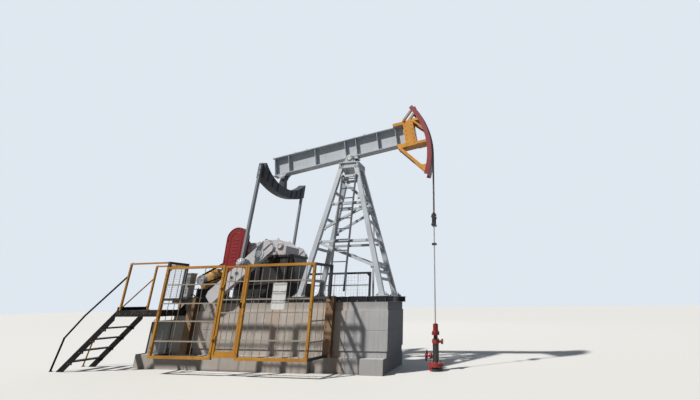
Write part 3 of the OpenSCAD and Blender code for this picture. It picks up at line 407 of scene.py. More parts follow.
PALE = ((0.46, 0.5, 0.545), (0.37, 0.405, 0.445))
FENCE = ((0.47, 0.228, 0.03), (0.31, 0.135, 0.022))
# Painted highlight: a pale tan for the top struts of the head, standing in for sunlight on their upper faces
STRUT_HIGHLIGHT = ((0.43, 0.37, 0.33), (0.33, 0.27, 0.23))
RODS = ((0.33, 0.31, 0.26), (0.25, 0.23, 0.19))
FRAMES = ((0.024, 0.031, 0.042), (0.038, 0.046, 0.058))
CASING = ((0.018, 0.018, 0.02), (0.026, 0.026, 0.028))
M = {
    "concrete": make_concrete(),
    "pale": paint("pale_grey_paint", *PALE, dirt=0.4, seed=1),
    "crank": paint("crank_white_paint", (0.56, 0.55, 0.575), (0.47, 0.465, 0.49), dirt=0.35, seed=14),
    # Painted shade: the pitmans are a darker grey than their pale paint, which shows only at their lit lower
    # end
    "pitman": paint("pitman_grey_painted_shade", (0.25, 0.272, 0.3), (0.19, 0.208, 0.23), wear=0.4, dirt=0.3, seed=21,
                    coats=(((("Z", 2.4, 2.72),), PALE),)),
    "grey": paint("machine_grey_paint", (0.33, 0.35, 0.365), (0.23, 0.245, 0.26), wear=0.6, dirt=0.6, seed=2),
    "gearbox": paint("gearbox_two_tone_paint", (0.53, 0.51, 0.525), (0.45, 0.435, 0.45), wear=0.4, dirt=0.28,
                     seed=9, coats=(((("Z", 0.0, 2.876),), CASING),)),
    "dark": paint("dark_grey_paint", (0.024, 0.026, 0.031), (0.044, 0.046, 0.052), wear=0.55, dirt=0.4,
                  seed=3, shine=0.14),
    "navy": paint("dark_navy_paint", (0.022, 0.029, 0.04), (0.036, 0.044, 0.056), wear=0.35, dirt=0.2,
                  seed=17, gloss=(0.5, 0.75)),
    "slate": paint("slate_grey_paint", (0.055, 0.064, 0.076), (0.08, 0.088, 0.098), dirt=0.25, seed=12),
    "well": make_well(),
    "black": paint("black_paint", (0.008, 0.008, 0.009), (0.016, 0.015, 0.015), wear=0.3, dirt=0.15, seed=4,
                   gloss=(0.6, 0.85), shine=0.05),
    "grating": make_grating(),
    "yellow": paint("yellow_safety_paint", *FENCE, wear=0.9, dirt=0.75, seed=5),
    # Painted highlight: the top struts of the head are painted a pale tan where sunlight falls on them
    "head": paint("head_yellow_paint", (0.64, 0.3, 0.04), (0.44, 0.185, 0.026), wear=0.8, dirt=0.7, seed=22,
                  coats=(((("Z", 6.89, 7.4),), STRUT_HIGHLIGHT),)),
    "fence": paint("fence_paint", *FENCE, wear=0.9, dirt=0.75, seed=18, coats=(
        ((("X", -4.188, -2.582), ("Z", 0.421, 2.439)), RODS),
        ((("X", -1.828, -0.142), ("Z", 0.421, 2.439)), RODS),
        ((("X", -4.26, -4.18), ("Z", 2.501, 2.7)), FRAMES))),
    "gate": paint("gate_paint", *FENCE, wear=0.9, dirt=0.75, seed=19, coats=(
        ((("X", -2.455, -1.955), ("Z", 0.541, 2.429)), RODS),)),
    "side": paint("side_panel_paint", *FRAMES, wear=0.6, dirt=0.4, seed=20, coats=(
        ((("X", -4.5, -3.9), ("Y", -1.469, -1.001), ("Z", 0.421, 2.574)), RODS),
        ((("X", -0.4, 0.3), ("Y", -1.469, -0.881), ("Z", 0.421, 2.439)), RODS))),
    "red": paint("brick_red_paint", (0.255, 0.022, 0.018), (0.165, 0.018, 0.017), wear=0.45, dirt=0.4,
                 seed=6),
    "guard": paint("belt_guard_red", (0.235, 0.013, 0.015), (0.165, 0.012, 0.014), wear=0.4, dirt=0.25,
                 seed=13),
    "arc": paint("faded_red_paint", (0.285, 0.06, 0.066), (0.215, 0.042, 0.048), wear=0.45, dirt=0.35,
                 seed=16),
    "brown": paint("yellow_brown_paint", (0.52, 0.3, 0.075), (0.33, 0.19, 0.06), wear=0.6, seed=7),
    "white": paint("white_plate_enamel", (0.72, 0.72, 0.7), (0.62, 0.62, 0.6), wear=0.25, dirt=0.35, seed=8),
    "band": paint("sign_band_paint", (0.42, 0.42, 0.43), (0.35, 0.35, 0.36), wear=0.3, dirt=0.4, seed=11),
    "rust": make_rust(),
    "column": paint("weathered_brown_steel", (0.3, 0.195, 0.115), (0.17, 0.095, 0.05), wear=0.8, dirt=0.8,
                    seed=15, gloss=(0.7, 0.9)),
    "steel": make_steel("turned_steel", (0.42, 0.42, 0.42)),
    "bolt": make_steel("bolt_steel", (0.22, 0.2, 0.185), 0.4, 0.65),
    "rope": make_rope(),
}
# The finishes of each material slot, its plain one first, and the nodes that have another
SLOTS = {
    "concrete": ("concrete",), "pale_paint": ("pale", "crank"), "grey_paint": ("grey", "gearbox"),
    "dark_paint": ("dark", "navy", "slate", "well"), "black_paint": ("black", "grating"),
    "yellow_paint": ("yellow", "head", "fence"), "red_paint": ("red", "guard", "arc"),
    "brown_paint": ("brown",), "white_paint": ("white", "band"), "rusty_steel": ("rust", "column"),
    "wire_rope": ("rope",), "bare_steel": ("steel", "bolt"),
}
NODE_FINISH = {
    "platform_deck": "grating", "stair_treads": "grating", "gearbox": "gearbox", "carrier_bar": "dark",
    "head_frame": "head", "head_arc": "arc", "equalizer": "navy", "equalizer_hanger": "navy",
    "pitman_arms": "pitman", "cranks": "crank", "belt_guard": "guard", "stuffing_box": "guard",
    "handwheel": "guard", "wellhead": "well", "ladder": "slate", "skid_rails": "slate",
    "skid_cross_beams": "slate", "guard_columns": "column", "fence_front": "fence", "fence_sides": "side",
    "gate_leaf": "gate",
}
for entry in frame["record"]["subparts"]:
    node = frame["nodes"][entry["node"]]
    finish = M[NODE_FINISH.get(entry["node"], SLOTS[entry["material_slot"]][0])]
    if not node.material_slots:
        node.data.materials.append(finish)
    for s in node.material_slots:
        s.link = "OBJECT"
        s.material = finish


# Meshes: small solids gathered into one piece per place
SIDES = (-1, 1)
ALONG, NEAR, UP, DOWN = (1, 0, 0), (0, -1, 0), (0, 0, 1), (0, 0, -1)


def frame_at(origin, x, z):
    # A local frame: x along, z out of the face
    x, z = Vector(x).normalized(), Vector(z).normalized()
    return Matrix.Translation(origin) @ Matrix((x, z.cross(x), z)).transposed().to_4x4()


def side_frame(x, y, z, s):
    # A local frame on an upright face of the side s, with z out to that side and y up or down
    return frame_at((x, s * y, z), ALONG, (0, s, 0))


def at(place, x, y, z):
    return place @ Vector((x, y, z))


def moved(x, y, z):
    return Matrix.Translation((x, y, z))


def pitch(angle):
    return Matrix.Rotation(angle, 4, "Y")


def turned(place, axis):
    return place.to_3x3() @ Vector(axis)


def circle(r, n, phase=0.0):
    # Points round a circle. The phase is a share of one step.
    steps = [2 * math.pi * (k + phase) / n for k in range(n)]
    return [(r * math.cos(a), r * math.sin(a)) for a in steps]


def arch(r, h, n=10, tall=None):
    # Points over half a circle that starts at height h, from right to left
    steps = [math.pi * k / n for k in range(n + 1)]
    return [(r * math.cos(a), h + (tall or r) * math.sin(a)) for a in steps]


class Shape:
    def __init__(self):
        self.bm = bmesh.new()

    def add(self, verts, faces, m=None, smooth=False):
        made = [self.bm.verts.new(m @ Vector(v) if m else Vector(v)) for v in verts]
        for f in faces:
            self.bm.faces.new([made[i] for i in f]).smooth = smooth

    def block(self, lo, hi, m=None, c=0.002):
        # A box with chamfered edges
        lo, hi = Vector(lo), Vector(hi)
        bm = bmesh.new()
        bmesh.ops.create_cube(bm, size=1.0)
        for v in bm.verts:
            v.co = Vector([(lo[i] + hi[i]) / 2 + v.co[i] * (hi[i] - lo[i]) for i in range(3)])
        c = min(c, min(hi - lo) * 0.3)
        if c > 0:
            bmesh.ops.bevel(bm, geom=bm.edges[:], offset=c, segments=1, affect="EDGES")
        bm.verts.index_update()
        self.add([v.co.copy() for v in bm.verts], [[v.index for v in f.verts] for f in bm.faces], m)
        bm.free()

    def side_block(self, s, lo, hi, c=0.002, m=None):
        # A box given for the side of +Y, made on the side s
        low, high = sorted((s * lo[1], s * hi[1]))
        self.block((lo[0], low, lo[2]), (hi[0], high, hi[2]), m, c)

    def skin(self, rings, n, closed, m=None, smooth=True):
        # Faces between rings of n points each, with flat ends on an open run
        count = len(rings)
        faces = []
        for j in range(count if closed else count - 1):
            a, b = j * n, (j + 1) % count * n
            faces += [(a + i, a + (i + 1) % n, b + (i + 1) % n, b + i) for i in range(n)]
        self.add([v for ring in rings for v in ring], faces, m, smooth)
        if not closed:
            self.add(rings[0], [tuple(reversed(range(n)))], m)
            self.add(rings[-1], [tuple(range(n))], m)

    def lathe(self, rings, m=None, n=20, smooth=True):
        # rings: (radius, height) from bottom to top, closed at both ends
        self.skin([[(x, y, h) for x, y in circle(r, n)] for r, h in rings], n, False, m, smooth)

    def ring(self, r0, r1, a, b, m=None, n=28):
        # A flat washer between two radii, from height a to b
        corners = ((r0, a), (r1, a), (r1, b), (r0, b))
        self.skin([[(x, y, h) for x, y in circle(r, n)] for r, h in corners], n, True, m, False)

    def tube(self, points, r, n=10, closed=False):
        points = [Vector(p) for p in points]
        count = len(points)
        rings = []
        normal = None
        for i, p in enumerate(points):
            a = points[(i - 1) % count] if closed or i > 0 else p
            b = points[(i + 1) % count] if closed or i < count - 1 else p
            t = (b - a).normalized()
            normal = normal or t.orthogonal().normalized()
            normal = (normal - t * normal.dot(t)).normalized()
            side = t.cross(normal)
            rings.append([p + (normal * u + side * v) * r for u, v in circle(1, n)])
        self.skin(rings, n, closed)

    def prism(self, outline, a, b, m=None):
        # An outline in the local XY plane, from height a to b
        n = len(outline)
        faces = [tuple(reversed(range(n))), tuple(range(n, 2 * n))]
        faces += [(i, (i + 1) % n, n + (i + 1) % n, n + i) for i in range(n)]
        self.add([(x, y, h) for h in (a, b) for x, y in outline], faces, m)

    def bolt(self, where, axis, af, head, washer=True, nut=True):
        # af is the width of the head across its flats
        quat = Vector(axis).normalized().to_track_quat("Z", "Y")
        m = Matrix.Translation(where) @ quat.to_matrix().to_4x4()
        base = 0.0
        if washer:
            base = 0.004
            self.lathe([(af * 0.66, 0.0), (af * 0.66, base)], m, 14, False)
        r = af / math.sqrt(3)
        self.lathe([(r, base), (r, base + head * 0.85), (r * 0.86, base + head)], m, 6, False)
        if nut:
            tip = [(0.3, 1.0), (0.3, 1.45), (0.22, 1.6)]
            self.lathe([(af * a, base + head * b) for a, b in tip], m, 10)

    def bolt_circle(self, m, r, h, n, phase, af, head, washer=False, nut=False):
        # Bolts round a frame's own z
        for x, y in circle(r, n, phase):
            self.bolt(at(m, x, y, h), turned(m, UP), af, head, washer, nut)

    def weld(self, a, b, r=0.006):
        # A plain bead
        a, b = Vector(a), Vector(b)
        steps = max(3, int((b - a).length / 0.02))
        self.tube([a.lerp(b, i / steps) for i in range(steps + 1)], r, 5)

    def piece(self, name, finish, body="frame"):
        # Makes one object of what is gathered, and starts again
        bmesh.ops.recalc_face_normals(self.bm, faces=self.bm.faces[:])
        mesh = bpy.data.meshes.new(name)
        self.bm.to_mesh(mesh)
        self.bm.free()
        obj = bpy.data.objects.new(name, mesh)
        scene.collection.objects.link(obj)
        mesh.materials.append(M[finish])
        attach(obj, body)
        self.bm = bmesh.new()


# Places that repeat the CAD's own sizes, in metres
PIVOT_Z = 5.7
BEAM = moved(0, 0, PIVOT_Z) @ pitch(-math.radians(9.3))
TAIL_X = -2.32
TAIL = at(BEAM, TAIL_X, 0, 0)
HUB_X, HUB_Z = -2.13, 2.85
CRANK = moved(HUB_X, 0, HUB_Z) @ pitch(math.pi - math.radians(40.6))
WRIST = at(CRANK, 0.4, 0, 0)
PITMAN_LEAN = math.atan((TAIL.x - WRIST.x) / (TAIL.z - WRIST.z))
PITMAN = Matrix.Translation(TAIL) @ pitch(PITMAN_LEAN)
PITMAN_LEN = (TAIL - WRIST).length
SKID_Z, HEAD_Z = 1.73, 5.38
TOWER_H = HEAD_Z - SKID_Z
FOOT_X, FOOT_Y = (-1.0, 1.27), 0.553
LEG_LEAN = math.atan(0.333 / TOWER_H)
GUARD_X, GUARD_Z = -3.16, 2.62
MOTOR_X, MOTOR_Z = -4.12, 2.23
WELL_X, VALVE_Z = 2.5, 0.33
FENCE_Y, FENCE_LOW, FENCE_TOP = 1.5, 0.42, 2.44
DECK_Z = 1.4452

shape, bolts, extra = Shape(), Shape(), Shape()

# Bolts through the tower's feet and the skid's flanges
for x, s, dx, dy in product(FOOT_X, SIDES, (-0.125, 0.125), (-0.05, 0.05)):
    shape.bolt((x + dx, s * FOOT_Y + dy, SKID_Z + 0.02), UP, 0.036, 0.022)
for i, s in product(range(13), SIDES):
    shape.bolt((-4.7 + i * 0.485, s * 0.601, 1.6022), UP, 0.036, 0.02)
shape.piece("foundation_bolts", "bolt")

# Web stiffeners of the skid rails
for i, s in product(range(13), SIDES):
    x = -4.62 + i * 0.5
    shape.side_block(s, (x - 0.006, 0.562, 1.6022), (x + 0.006, 0.622, 1.7178), 0.001)
shape.piece("skid_stiffeners", "slate")

# Filled formwork holes in the concrete
for x, z, s in product((-3.4, -2.4, -1.4, 0.55, 1.2), (0.72, 1.2), SIDES):
    shape.lathe([(0.02, -0.002), (0.02, 0.0012), (0.015, 0.002)], side_frame(x, 0.6805, z, s), 14, False)
shape.piece("formwork_plugs", "concrete")


# Tower: gusset plates and bolts where the bars meet the legs
def leg_x(h, rear):
    # Where a leg stands at a height above the skid
    return FOOT_X[0] + 0.74 * h / TOWER_H if rear else FOOT_X[1] - 1.04 * h / TOWER_H


def leg_y(h):
    return FOOT_Y - 0.333 * h / TOWER_H


REAR_BARS = (0.395, 0.695, 0.49, 0.925)
FRONT_BARS = (0.395, 0.695, 0.93, 0.2, 0.66, 0.73)
for share, rear in [(f, True) for f in REAR_BARS] + [(f, False) for f in FRONT_BARS]:
    h = share * TOWER_H
    x = leg_x(h, rear) + (0.105 if rear else -0.105)
    for s in SIDES:
        out = Vector((0, s * math.cos(LEG_LEAN), math.sin(LEG_LEAN)))
        m = frame_at(Vector((x, s * leg_y(h), SKID_Z + h)) + out * 0.026, ALONG, out)
        shape.prism([(-0.045, -0.042), (0.045, -0.034), (0.045, 0.034), (-0.045, 0.042)], 0.0, 0.01, m)
        for dx in (-0.022, 0.022):
            bolts.bolt(at(m, dx, 0, 0.0102), out, 0.022, 0.012)
shape.piece("tower_gussets", "pale")
bolts.piece("tower_bolts", "bolt")

# Welds round the foot plates and along the head
for x, s in product(FOOT_X, SIDES):
    z = SKID_Z + 0.023
    foot = [(x + dx, s * FOOT_Y + dy, z)
            for dx, dy in ((-0.068, -0.056), (0.068, -0.056), (0.068, 0.056), (-0.068, 0.056))]
    for k in range(4):
        shape.weld(foot[k], foot[(k + 1) % 4])
for s in SIDES:
    shape.weld((-0.32, s * 0.275, HEAD_Z), (0.29, s * 0.275, HEAD_Z))
shape.piece("tower_welds", "pale")

# Foot brackets that stiffen the leg plates, taller on the side to which a leg leans
for (x, lean), s, e in product(zip(FOOT_X, (1, -1)), SIDES, SIDES):
    m = frame_at((x + e * 0.074, s * FOOT_Y, SKID_Z + 0.0202), (e, 0, 0), (0, -e, 0))
    shape.prism([(0, 0), (0.075, 0), (0.0, 0.16 if e == lean else 0.1)], -0.006, 0.006, m)
shape.piece("leg_brackets", "pale")

# Saddle bearings: end covers, cap bolts and grease nipples
for s in SIDES:
    m = side_frame(0, 0.2602, PIVOT_Z, s)
    shape.lathe([(0.094, 0.0), (0.094, 0.008), (0.088, 0.013), (0.06, 0.014)], m, 28)
    bolts.bolt_circle(m, 0.077, 0.0138, 8, 0.5, 0.017, 0.009)
    for x, y in product((-0.155, 0.155), (0.17, 0.23)):
        bolts.bolt((x, s * y, 5.5985), UP, 0.034, 0.022)
    shape.tube([(0, s * 0.2, PIVOT_Z + 0.106), (0, s * 0.2, PIVOT_Z + 0.128)], 0.006, 8)
shape.piece("saddle_covers", "pale")
bolts.piece("saddle_bolts", "bolt")

# Beam: bolts over the saddle and the tail bracket, web welds and lifting lugs
for u, y in product((-0.16, -0.06, 0.06, 0.16, -2.46, -2.18), (-0.085, 0.085)):
    bolts.bolt(at(BEAM, u, y, 0.115), turned(BEAM, UP), 0.03, 0.02)
BAYS = ((-2.55, -2.09), (-2.06, -1.19), (-1.16, -0.19), (-0.16, 0.17), (0.2, 0.86), (0.89, 1.45))
for s, (u0, u1), w in product(SIDES, BAYS, (0.118, 0.692)):
    shape.weld(at(BEAM, u0, s * 0.011, w), at(BEAM, u1, s * 0.011, w), 0.005)
for u in (-1.9, -1.5, 0.45):
    m = frame_at(at(BEAM, u, 0, 0.7202), turned(BEAM, ALONG), NEAR)
    shape.prism([(-0.06, 0), (0.06, 0)] + arch(0.045, 0.055), -0.008, 0.008, m)
shape.piece("beam_welds_and_lugs", "pale", "beam")
bolts.piece("beam_bolts", "bolt", "beam")

# Head: bolted side plates, ribs between arc and frame, and the rope clamp at the top
for s in SIDES:
    for u, w in product((1.8, 2.00), (0.05, 0.2, 0.35, 0.5, 0.65, 0.76)):
        bolts.bolt(at(BEAM, u, s * 0.1502, w), (0, s, 0), 0.018, 0.007)
    for u in (1.745, 2.055):
        shape.weld(at(BEAM, u, s * 0.151, -0.03), at(BEAM, u, s * 0.151, 0.81), 0.005)
shape.piece("head_welds", "head", "beam")
bolts.piece("head_bolts", "head", "beam")
for deg, s in product(range(-22, 30, 6), SIDES):
    m = BEAM @ pitch(-math.radians(deg))
    shape.side_block(s, (2.395, 0.152, -0.006), (2.469, 0.174, 0.006), 0.001, m)
shape.piece("arc_ribs", "arc", "beam")
m = BEAM @ pitch(-math.radians(29.6))
for y0, y1 in ((-0.115, -0.078), (-0.042, 0.042), (0.078, 0.115)):
    shape.block((2.486, y0, -0.03), (2.5155, y1, 0.012), m, 0.003)
shape.block((2.5158, -0.115, -0.03), (2.53, 0.115, 0.012), m, 0.003)
for y in (-0.097, 0.0, 0.097):
    bolts.bolt(at(m, 2.5302, y, -0.009), turned(m, ALONG), 0.022, 0.013)
shape.piece("rope_clamp", "dark", "beam")
bolts.piece("rope_clamp_bolts", "bolt", "beam")

# Gearbox: flange bolts, bearing covers, inspection covers, ribs and fittings
for i, s in product(range(17), SIDES):
    x = -3.09 + i * 0.105
    if abs(x - HUB_X) > 0.225:
        bolts.bolt((x, s * 0.3495, 2.8752), UP, 0.024, 0.016, False)
        bolts.bolt((x, s * 0.3495, 2.8248), DOWN, 0.024, 0.014, False, False)
for s in SIDES:
    m = side_frame(HUB_X, 0.4001, HUB_Z, s)
    shape.ring(0.105, 0.192, 0.0, 0.012, m, 40)
    bolts.bolt_circle(m, 0.165, 0.0121, 12, 0.5, 0.02, 0.012)
    m = side_frame(-1.9, 0.3551, 3.1352, s)
    shape.lathe([(0.082, 0.0), (0.082, 0.006), (0.076, 0.01), (0.05, 0.011), (0.046, 0.006)], m, 28)
    bolts.bolt_circle(m, 0.064, 0.0106, 6, 0.0, 0.014, 0.008)
    m = side_frame(-3.0, 0.3301, 3.0, s)
    if s > 0:
        shape.lathe([(0.135, 0.0), (0.135, 0.022), (0.125, 0.028), (0.055, 0.03), (0.05, 0.04),
                     (0.0501, 0.041)], m, 32)
    else:
        shape.ring(0.084, 0.135, 0.0, 0.022, m, 32)
    bolts.bolt_circle(m, 0.112, 0.0222, 8, 0.5, 0.018, 0.01)
    for x in (-2.78, -2.42, -1.58, -1.44):
        shape.side_block(s, (x - 0.01, 0.3305, 2.16), (x + 0.01, 0.362, 2.8245), 0.003)
    for x, top in ((-2.72, 3.12), (-1.62, 2.9)):
        shape.side_block(s, (x - 0.01, 0.3305, 2.8755), (x + 0.01, 0.35, top), 0.003)
for x0, x1, z in ((-3.06, -2.7, 3.2503), (-2.3, -2.00, 3.3103)):
    shape.block((x0, -0.2, z), (x1, 0.2, z + 0.01), c=0.003)
    rim = [(x0 + 0.03 + i * (x1 - x0 - 0.06) / 3, y) for i, y in product(range(4), (-0.178, 0.178))]
    rim += [(x, y) for y, x in product((-0.09, 0.0, 0.09), (x0 + 0.024, x1 - 0.024))]
    for x, y in rim:
        bolts.bolt((x, y, z + 0.0102), UP, 0.016, 0.01, False, False)
shape.lathe([(0.018, 3.262), (0.018, 3.3), (0.034, 3.304), (0.038, 3.335), (0.03, 3.352), (0.0001, 3.356)],
            moved(-2.88, 0.06, 0), 20)
for (x, z), y in product(((-2.02, 3.309), (-2.95, 3.249)), (-0.28, 0.28)):
    m = frame_at((x, y, z), ALONG, NEAR)
    shape.prism([(-0.045, 0), (0.045, 0)] + arch(0.032, 0.03), -0.008, 0.008, m)
shape.piece("gearbox_covers_and_ribs", "gearbox")
for x, s, z in product((-3.1, -2.72, -2.34, -1.96, -1.58, -1.2), SIDES, (2.1002, 1.7602)):
    bolts.bolt((x, s * 0.362, z), UP, 0.032, 0.02)
bolts.piece("gearbox_bolts", "bolt")

# Gearbox stand: outer ribs, welds, and three short struts towards the guard
for i, s in product(range(9), SIDES):
    m = frame_at((-3.02 + i * 0.225, s * 0.3302, 1.7602), (0, s, 0), (s, 0, 0))
    shape.prism([(0, 0), (0.052, 0), (0.03, 0.3), (0, 0.3)], -0.006, 0.006, m)
for s, z in product(SIDES, (1.763, 2.067)):
    shape.weld((-3.1, s * 0.333, z), (-1.18, s * 0.333, z))
shape.tube([(-3.05, -0.375, 2.105), (-3.05, -0.46, 2.32), (-3.05, -0.46, 2.42)], 0.018)
shape.tube([(-3.2, -0.345, 2.6), (-3.2, -0.43, 2.6)], 0.02)
shape.tube([(-3.05, -0.345, 3.1), (-3.05, -0.43, 3.4)], 0.02)
shape.piece("stand_ribs", "dark")


# Belt guard: raised rings and slats, door hinges, handle and rim bolts
def obround(r, n=18):
    # Two half circles, as far apart as the guard's own
    return [(-x, -y) for x, y in arch(r, 0.0, n)] + arch(r, 0.74, n)


m = side_frame(GUARD_X, 0.5602, GUARD_Z, -1)
for r, wire in ((0.301, 0.006), (0.175, 0.005)):
    shape.tube([at(m, x, y, 0.002) for x, y in obround(r)], wire, 6, True)
for k in range(7):
    z = 0.12 + k * 0.095
    shape.block((-0.085, z - 0.012, 0.0), (0.085, z + 0.012, 0.007), m, 0.003)
for z in (0.1, 0.7):
    shape.block((-0.294, z - 0.035, 0.0), (-0.262, z + 0.035, 0.01), m, 0.003)
    shape.tube([at(m, -0.29, z - 0.032, 0.008), at(m, -0.29, z + 0.032, 0.008)], 0.008)
shape.tube([at(m, 0.25, z, h) for z, h in ((0.32, 0), (0.32, 0.022), (0.42, 0.022), (0.42, 0))], 0.006, 8)
shape.piece("belt_guard_cover", "guard")
for x, y in obround(0.301, 8):
    bolts.bolt(at(m, x, y, 0.0075), NEAR, 0.016, 0.009, nut=False)
bolts.piece("belt_guard_bolts", "bolt")

# Drive belts from the motor's grooved sheave into the guard
SHEAVE_Y, SHEAVE_R, PULLEY_R = 0.49, 0.121, 0.2
GROOVES = [-0.048 + k * 0.026 for k in range(4)]
rings = [(0.03, -0.055), (0.128, -0.055)]
for h in GROOVES:
    rings += [(0.13, h), (0.112, h + 0.007), (0.112, h + 0.013), (0.13, h + 0.02)]
rings += [(0.128, 0.06), (0.045, 0.06), (0.045, 0.075), (0.0001, 0.076)]
shape.lathe(rings, side_frame(MOTOR_X, SHEAVE_Y, MOTOR_Z, -1), 32, False)
shape.tube([(MOTOR_X, -0.31, MOTOR_Z), (MOTOR_X, -0.44, MOTOR_Z)], 0.028, 14)
shape.piece("motor_sheave", "steel")
rise = math.atan2(GUARD_Z - MOTOR_Z, GUARD_X - MOTOR_X)
swing = math.asin((PULLEY_R - SHEAVE_R) / math.hypot(GUARD_X - MOTOR_X, GUARD_Z - MOTOR_Z))


def rim_point(x, z, r, angle, y):
    return Vector((x + r * math.cos(angle), y, z + r * math.sin(angle)))


for h in GROOVES:
    y = -SHEAVE_Y - (h + 0.01)
    for s in SIDES:
        angle = rise + s * (math.pi / 2 + swing)
        a = rim_point(MOTOR_X, MOTOR_Z, SHEAVE_R, angle, y)
        b = rim_point(GUARD_X, GUARD_Z, PULLEY_R, angle, y)
        shape.tube([a, a.lerp(b, 0.78)], 0.0085, 8)
    wrap = [rise + math.pi / 2 + swing + (math.pi - 2 * swing) * j / 12 for j in range(13)]
    shape.tube([rim_point(MOTOR_X, MOTOR_Z, SHEAVE_R, angle, y) for angle in wrap], 0.0085, 8)
shape.piece("drive_belts", "black")

# Motor: end shield, fan cowl with slots, terminal box lid, lifting eye, cable and feet bolts
SHIELD = [(0.236, -0.012), (0.24, 0.004), (0.225, 0.016), (0.11, 0.03), (0.062, 0.046), (0.04, 0.048)]
COWL = [(0.24, -0.012), (0.246, 0.0), (0.246, 0.085), (0.225, 0.112), (0.12, 0.124), (0.0001, 0.126)]
for s, rings, h in ((-1, SHIELD, 0.017), (1, COWL, 0.1145)):
    m = side_frame(MOTOR_X, 0.3101, MOTOR_Z, s)
    shape.lathe(rings, m, 36)
    bolts.bolt_circle(m, 0.205, h, 6, 0.5, 0.018, 0.01, washer=True)
for x, y in circle(1, 10):
    shape.tube([at(m, 0.05 * x, 0.05 * y, 0.126), at(m, 0.17 * x, 0.17 * y, 0.121)], 0.004, 6)
shape.block((MOTOR_X - 0.095, -0.095, 2.5605), (MOTOR_X + 0.095, 0.095, 2.572), c=0.004)
for x, y in product((-0.078, 0.078), repeat=2):
    bolts.bolt((MOTOR_X + x, y, 2.5721), UP, 0.013, 0.007, False, False)
eye = [(0.03, 2.46)] + arch(0.03, 2.505, 12, 0.032) + [(-0.03, 2.46)]
shape.tube([(MOTOR_X + x, -0.18, z) for x, z in eye], 0.008, 8)
cable = ((0.09, 0.0, 2.5), (0.13, 0.0, 2.5), (0.2, 0.0, 2.46), (0.27, 0.05, 2.3), (0.29, 0.08, 2.02))
shape.tube([(MOTOR_X + x, y, z) for x, y, z in cable], 0.014, 8)
shape.piece("motor_fittings", "brown")
for x in (-0.3, 0.3):
    for y in (-0.25, 0.25):
        bolts.bolt((MOTOR_X + x, y, 2.0002), UP, 0.03, 0.018)
    for y in (-0.58, -0.3, 0.3, 0.58):
        bolts.bolt((MOTOR_X + x * 1.1, y, 1.7552), UP, 0.03, 0.018)
bolts.piece("motor_bolts", "bolt")

# Control post: door, hinges, louvres on three sides, rear plate, handle, lamps and a conduit
LOUVRE = [(0, 0), (0.01, 0), (0, 0.016)]
shape.block((-4.882, -0.2565, 1.775), (-4.758, -0.2505, 2.405), c=0.003)
for z in (1.9, 2.28):
    shape.tube([(-4.886, -0.258, z - 0.035), (-4.886, -0.258, z + 0.035)], 0.006)
for k in range(6):
    z = 2.18 + k * 0.028
    shape.prism(LOUVRE, -0.04, 0.04, frame_at((-4.82, -0.2566, z), NEAR, ALONG))
    shape.prism(LOUVRE, -0.065, 0.065, frame_at((-4.7499, -0.15, z), ALONG, (0, 1, 0)))
    shape.prism(LOUVRE, -0.065, 0.065, frame_at((-4.8901, -0.15, z), (-1, 0, 0), NEAR))
shape.block((-4.878, -0.0498, 1.775), (-4.762, -0.0448, 2.405))
shape.piece("cabinet_door", "grey")
extra.block((-4.782, -0.268, 2.055), (-4.766, -0.2566, 2.115), c=0.003)
extra.tube([(-4.774, -0.266, 2.085), (-4.774, -0.286, 2.085), (-4.774, -0.288, 2.04)], 0.006, 8)
for x, z in ((-4.84, 1.98), (-4.82, 1.9)):
    extra.lathe([(0.014, 0.0), (0.014, 0.006), (0.01, 0.008), (0.01, 0.016), (0.008, 0.018)],
               side_frame(x, 0.2566, z, -1), 16)
extra.tube([(-4.76, -0.12, 1.84), (-4.66, -0.12, 1.84), (-4.62, -0.12, 1.81), (-4.61, -0.12, 1.765)], 0.014)
extra.piece("cabinet_handle", "black")

# Cranks: rims of the holes, hub collars, clamp bolts over the split and wrist nuts
for s in SIDES:
    for y, out in ((0.88, s), (0.74, -s)):
        for u, r0, r1, thick, n in ((0.77, 0.0455, 0.066, 0.006, 28), (0.94, 0.0455, 0.066, 0.006, 28),
                                    (0.0, 0.093, 0.15, 0.01, 40)):
            c = at(CRANK, u, 0, 0)
            m = frame_at((c.x, s * y + out * 0.0002, c.z), ALONG, (0, out, 0))
            shape.ring(r0, r1, 0.0, thick, m, n)
    for u, e, y in product((-0.345, -0.255, -0.165), SIDES, (0.785, 0.835)):
        p = at(CRANK, u, 0, e * 0.1952)
        bolts.bolt((p.x, s * y, p.z), turned(CRANK, (0, 0, e)), 0.034, 0.022)
    bolts.lathe([(0.03, 0.0), (0.03, 0.006), (0.024, 0.0085)], side_frame(WRIST.x, 0.9302, WRIST.z, s), 16)
shape.piece("crank_rims", "pale", "crank")
bolts.piece("crank_bolts", "bolt", "crank")

# Pitmans: wrist bearing covers with bolts, end bolts and web welds
low = at(PITMAN, 0, 0, -PITMAN_LEN)
for s in SIDES:
    m = side_frame(low.x, 1.1452, low.z, s)
    shape.lathe([(0.112, 0.0), (0.112, 0.01), (0.104, 0.016), (0.06, 0.017), (0.052, 0.028), (0.03, 0.032)],
                m, 36)
    bolts.bolt_circle(m, 0.09, 0.0166, 8, 0.5, 0.02, 0.011)
    for h, u in product((0.02, -0.14, -0.3), (-0.0144, 0.0144)):
        bolts.bolt(at(PITMAN, u, s * 1.1452, h), (0, s, 0), 0.018, 0.01, False)
    for u in (-0.03, 0.03):
        h = 0.122 - PITMAN_LEN
        shape.weld(at(PITMAN, u, s * 1.064, h), at(PITMAN, u, s * 1.141, h))
shape.piece("wrist_covers", "pale", "pitman")
bolts.piece("pitman_bolts", "bolt", "pitman")


# Equalizer: stiffening ribs on both webs and hanger bolts
def bow(y, r, lowest):
    # The height of a curved edge of the equalizer
    return lowest + r - math.sqrt(r * r - y * y)


